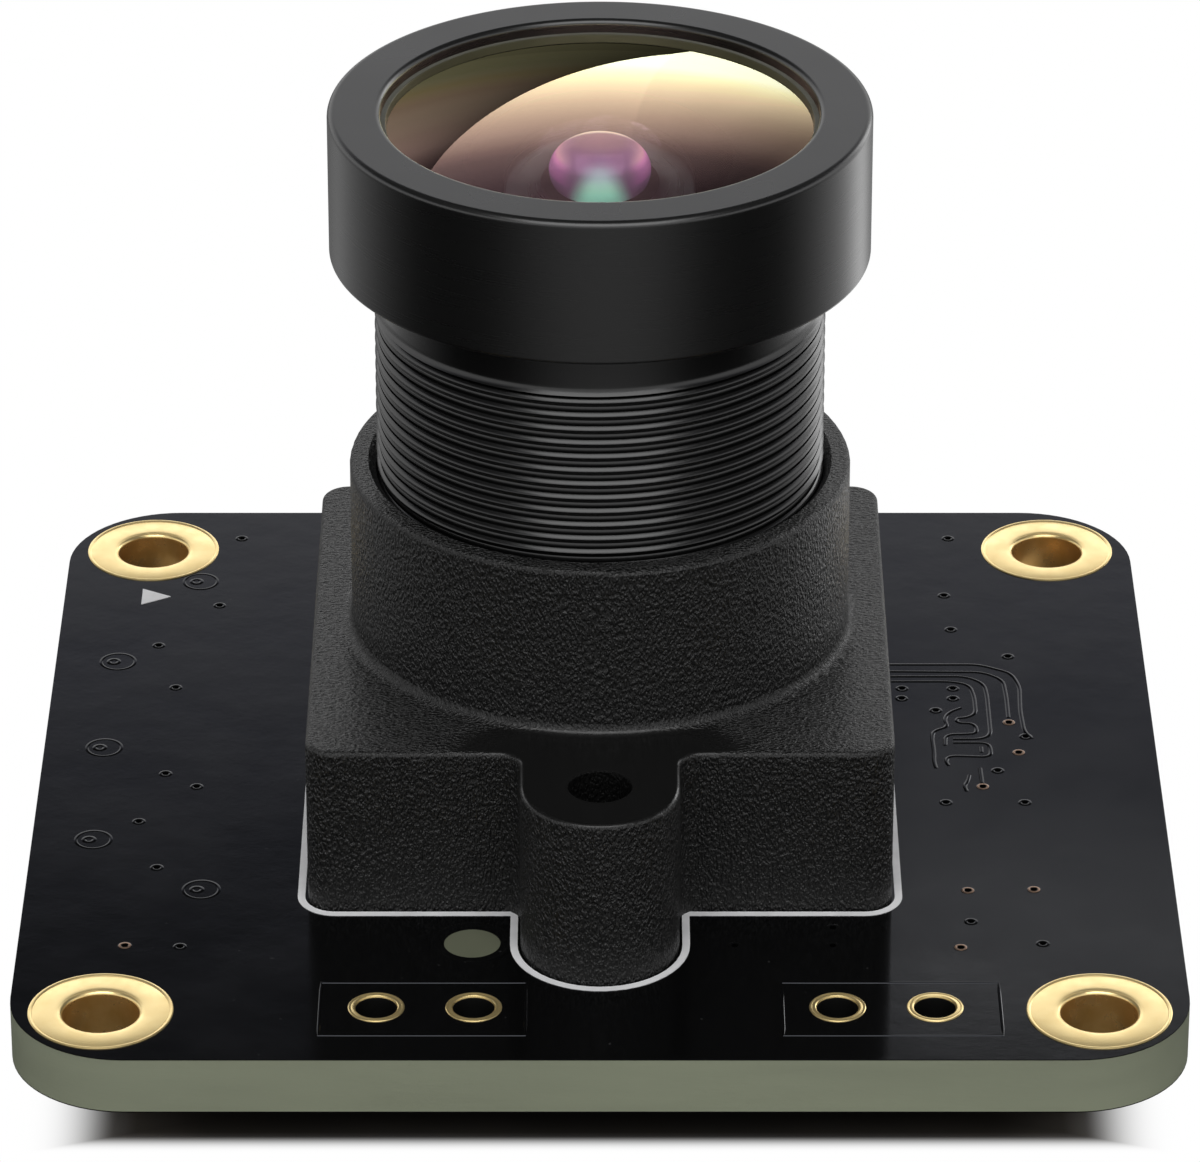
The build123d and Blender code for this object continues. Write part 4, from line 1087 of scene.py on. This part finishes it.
def make_floor():
    """A plain pale floor, white to the camera from a little inside the board's outline outward.
    Inside that its paper colour darkens: a painted shadow. In satin mirrors it is bright behind and
    dim in front, with a pale patch far in front, and dark under the board: painted shade."""
    bpy.ops.mesh.primitive_plane_add(size=FLOOR_SIZE, location=(0, 0, cad_low[2]))
    floor = bpy.context.object
    floor.name = "floor"
    mat, tree, output = new_material("floor_paper")
    paths = tree.nodes.new("ShaderNodeLightPath").outputs
    x, y, _ = split_vector(tree, tree.nodes.new("ShaderNodeTexCoord").outputs["Object"])
    flat = node(tree, "ShaderNodeCombineXYZ", {"X": x, "Y": y}).outputs[0]
    distance = node(tree, "ShaderNodeVectorMath", {0: flat}, operation="LENGTH").outputs["Value"]
    aim = node(tree, "ShaderNodeVectorMath", {0: flat}, operation="NORMALIZE").outputs["Vector"]
    aim_x, aim_y, _ = split_vector(tree, aim)
    across = math_node(tree, "ABSOLUTE", x)
    along = math_node(tree, "ABSOLUTE", y)

    patch = math_node(
        tree, "MULTIPLY_ADD", stretch_mm(tree, distance, FLOOR_PATCH), 1.0 - FLOOR_EDGE, FLOOR_EDGE
    )
    level = math_node(tree, "MAXIMUM", patch, stretch_range(tree, aim_y, -0.5, 0.0))
    right = stretch_range(tree, aim_x, *RIGHT_SIDE)
    right_back = math_node(tree, "MULTIPLY", right, stretch_range(tree, aim_y, *RIGHT_BACK))
    lean = math_node(tree, "MULTIPLY_ADD", aim_x, FLOOR_LEAN, 1.0)
    lean = math_node(tree, "MULTIPLY_ADD", right_back, RIGHT_BOOST, lean)
    # The floor's image in satin mirrors is darkened under the board: painted shade
    under = stretch_mm(tree, math_node(tree, "MAXIMUM", across, along), FLOOR_PAINTED_SHADE)
    for factor in (lean, under):
        level = math_node(tree, "MULTIPLY", level, factor)
    turn = stretch_range(tree, aim_y, -1.0, 1.0, smooth=False)
    links = {"Color": ramp(tree, turn, FLOOR_MIRROR), "Strength": level}
    satin_image = node(tree, "ShaderNodeEmission", links).outputs[0]

    azimuth = math_node(tree, "ARCTAN2", x, y)
    rise = math_node(tree, "ARCTAN2", cad_low[2] - cad_high[2], distance)
    window, level = panel_window(tree, azimuth, panel_edge(tree, rise))
    links = {"Color": pick(tree, window, GAP_FLOOR_TONE, (1.0, 1.0, 1.0)), "Strength": level}
    sharp_image = node(tree, "ShaderNodeEmission", links).outputs[0]
    image = mix_shaders(tree, paths["Is Singular Ray"], satin_image, sharp_image)

    # The paper colour darkens from these spans inward under the board: a painted shadow. Beyond
    # them the camera sees white.
    open_across = stretch_mm(tree, across, SHADOW_REACH_X)
    open_along = stretch_mm(tree, along, SHADOW_REACH_Y)
    open_floor = math_node(tree, "MAXIMUM", open_across, open_along)
    tone = ramp(tree, open_floor, PAINTED_SHADOW_FADE)
    paper = node(tree, "ShaderNodeBsdfDiffuse", {"Color": tone}).outputs[0]
    cleared = stretch_range(tree, open_floor, SHADOW_END, 1.0)
    share = math_node(tree, "MULTIPLY", cleared, paths["Is Camera Ray"])
    white = tree.nodes.new("ShaderNodeEmission").outputs[0]
    shown = mix_shaders(tree, paths["Is Glossy Ray"], mix_shaders(tree, share, paper, white), image)
    tree.links.new(shown, output.inputs["Surface"])
    floor.data.materials.append(mat)


def make_world():
    """White to the camera and a soft grey fill. Satin surfaces mirror a pale wall, a dark band over
    it and a bright ring above. Clear glass mirrors tall panels and an even grey overhead."""
    world = bpy.data.worlds.new("studio")
    bpy.context.scene.world = world
    world.use_nodes = True
    tree = world.node_tree
    tree.nodes.clear()
    output = tree.nodes.new("ShaderNodeOutputWorld")
    paths = tree.nodes.new("ShaderNodeLightPath").outputs
    x, y, up = split_vector(tree, tree.nodes.new("ShaderNodeTexCoord").outputs["Generated"])
    wall = ramp(tree, stretch_range(tree, up, *WALL_SPAN, smooth=False), WALL_FADE)
    satin_image = node(tree, "ShaderNodeBackground", {"Color": wall}).outputs[0]

    rise = math_node(tree, "ARCSINE", up)
    azimuth = math_node(tree, "ARCTAN2", x, y)
    window, level = panel_window(tree, azimuth, panel_edge(tree, rise))
    gap = ramp(tree, stretch_range(tree, rise, 0.0, GAP_RISE, smooth=False), GAP_TONES)
    panel = ramp(tree, stretch_range(tree, up, *PANEL_TOP), PANEL_TOP_TONES)
    zenith = stretch_range(tree, up, *ZENITH_SPAN)
    lower = math_node(tree, "SUBTRACT", 1.0, zenith)
    even = math_node(tree, "MULTIPLY_ADD", math_node(tree, "SUBTRACT", level, 1.0), lower, 1.0)
    tone = pick(tree, zenith, pick(tree, window, gap, panel), ZENITH_TONE)
    sharp_image = node(tree, "ShaderNodeBackground", {"Color": tone, "Strength": even}).outputs[0]

    fill, white = [
        node(tree, "ShaderNodeBackground", Color=(1.0, 1.0, 1.0, 1.0), Strength=strength).outputs[0]
        for strength in (FILL, 1.0)
    ]
    shown = fill
    for ray, image in (
        ("Is Glossy Ray", satin_image), ("Is Singular Ray", sharp_image),
        ("Is Transmission Ray", sharp_image), ("Is Camera Ray", white),
    ):
        shown = mix_shaders(tree, paths[ray], shown, image)
    tree.links.new(shown, output.inputs["Surface"])


def softbox(name, only=None):
    """A rectangular lamp aimed at the lens, placed by the direction it shines from. With only, it
    lights just the objects of that collection."""
    azimuth, elevation, distance, width, height, radiance = LAMPS[name]
    a = radians(azimuth)
    e = radians(elevation)
    away = Vector((sin(a) * cos(e), -cos(a) * cos(e), sin(e)))
    data = bpy.data.lights.new(name, "AREA")
    data.shape = "RECTANGLE"
    data.size = width
    data.size_y = height
    data.energy = radiance * pi * width * height
    lamp = add_object(name, data)
    lamp.location = Vector((0, 0, LAMP_TARGET * MM)) + away * distance
    lamp.rotation_mode = "QUATERNION"
    lamp.rotation_quaternion = away.to_track_quat("Z", "Y")
    lamp.visible_camera = False
    if only:
        lamp.light_linking.receiver_collection = only
    return lamp


def make_camera():
    data = bpy.data.cameras.new("camera")
    data.lens = CAMERA_LENS
    data.sensor_width = CAMERA_SENSOR
    data.clip_start = 0.01
    data.clip_end = 10.0
    camera = add_object("camera", data)
    camera.location = [v * MM for v in CAMERA_PLACE]
    camera.rotation_euler = (CAMERA_TILT, 0.0, 0.0)
    bpy.context.scene.camera = camera


make_camera()
make_floor()
make_world()
softbox("key_front")
softbox("right_rim")

mask = solder_mask()
gold_plating = gold("gold_plating", (0.95, 0.73, 0.33), (0.98, 0.77, 0.37), 0.33, 0.85)
# The bores of the plated holes are darker gold and black: painted shade in the holes
bore_gold_painted_shade = gold("bore_gold_painted_shade", (0.46, 0.26, 0.07), (0.56, 0.34, 0.12), 0.3, 0.7)
bore_black_painted_shade = anodised("bore_shade", 0.5, 0.2)
satin = anodised("anodised_satin", 0.28, 0.75)
thread_black = anodised("anodised_thread", 0.24, 0.6)
# The retaining ring's dark yellow-green tone is a painted reflection
olive_painted_reflection = grained(
    "ring_painted_reflection", (0.05, 0.048, 0.027), 0.4, 0.05, 0.0005, tint=0.05, Specular_IOR_Level=0.3
)
fiducial_mask = grained("bare_laminate", (0.13, 0.139, 0.094), 0.45, 0.12, 0.002, tint=0.06)
laminate = grained(
    "laminate", (0.181, 0.198, 0.135), 0.6, 0.08, 0.004, stretch=(0.15, 0.15, 1.0), tint=0.05
)
copper = grained("bare_copper", (0.5, 0.34, 0.25), 0.45, 0.05, 0.002, Metallic=1.0)
white_print = grained("white_print", (0.8, 0.8, 0.81), 0.6, 0.05, 0.003, tint=0.06)
amber = coated_glass("amber_coating", AMBER_TONES, 0.85)
ghost = coated_glass("inner_coating", GHOST_TONES, 0.9)
ball_reflection_paint = paint_ball_reflections()
ink = anodised("edge_ink", 0.5, 0.0)

masked, ball, plated = [bpy.data.collections.new(name) for name in ("masked", "ball", "plated")]
masked.objects.link(make_board(mask, laminate))
softbox("board_sheen", masked)
make_relief(mask, copper, fiducial_mask)
make_cap(satin)
make_retaining_ring(olive_painted_reflection)
make_barrel(thread_black)
make_front_glass(amber, ghost, ink)
ball.objects.link(make_second_glass(ball_reflection_paint, ink))
for side in ("left", "right"):
    softbox(f"ball_glow_{side}", ball).light_linking.blocker_collection = ball
for corner in ("front_left", "front_right", "rear_left", "rear_right"):
    ring_name = f"mounting_ring_{corner}"
    plated.objects.link(make_ring(ring_name, MOUNT_RING, gold_plating, bore_gold_painted_shade))
for number in (1, 2, 3, 4):
    ring_name = f"solder_ring_{number}"
    plated.objects.link(make_ring(ring_name, SOLDER_RING, gold_plating, bore_black_painted_shade))
softbox("plating_top", plated)
moulding = moulded()
make_holder_details(moulding)

FINISHES = {
    "print": white_print,
    "holder": moulding,
    "screw": grained("blackened_steel", (0.05, 0.05, 0.05), 0.35, 0.06, 0.002, Metallic=1.0),
    "sensor_ceramic": grained("ceramic", (0.62, 0.6, 0.55), 0.6, 0.06, 0.004),
    "silicon": grained("silicon", (0.12, 0.1, 0.16), 0.2, 0.02, 0.0005, Metallic=0.6),
    "clear_glass": clear_glass("clear_glass", (0.96, 0.98, 0.98)),
    "filter_glass": clear_glass("filter_glass", (0.45, 0.85, 0.78)),
    "anodised": satin,
    "coated_glass": clear_glass("stack_glass", (0.9, 0.95, 0.95)),
    "chip": grained("moulded_epoxy", (0.012, 0.012, 0.013), 0.55, 0.035, 0.004),
    "tin": grained("tinned_metal", (0.72, 0.72, 0.7), 0.32, 0.08, 0.004, Metallic=1.0),
    "ferrite": grained("ferrite", (0.05, 0.05, 0.052), 0.7, 0.05, 0.008),
    "capacitor": grained("capacitor_ceramic", (0.32, 0.2, 0.1), 0.45, 0.05, 0.003),
    "resistor": grained("resistor_glaze", (0.012, 0.012, 0.014), 0.2, 0.05, 0.001),
    "connector": grained("ivory_nylon", (0.72, 0.67, 0.55), 0.45, 0.05, 0.003, tint=0.05),
    "board": mask,
    "gold": gold_plating,
}
for part in frame["record"]["subparts"]:
    obj = frame["nodes"][part["node"]]
    for holder_slot in obj.material_slots:
        holder_slot.material = FINISHES[part["material_slot"]]

bpy.context.scene.view_settings.view_transform = "Standard"
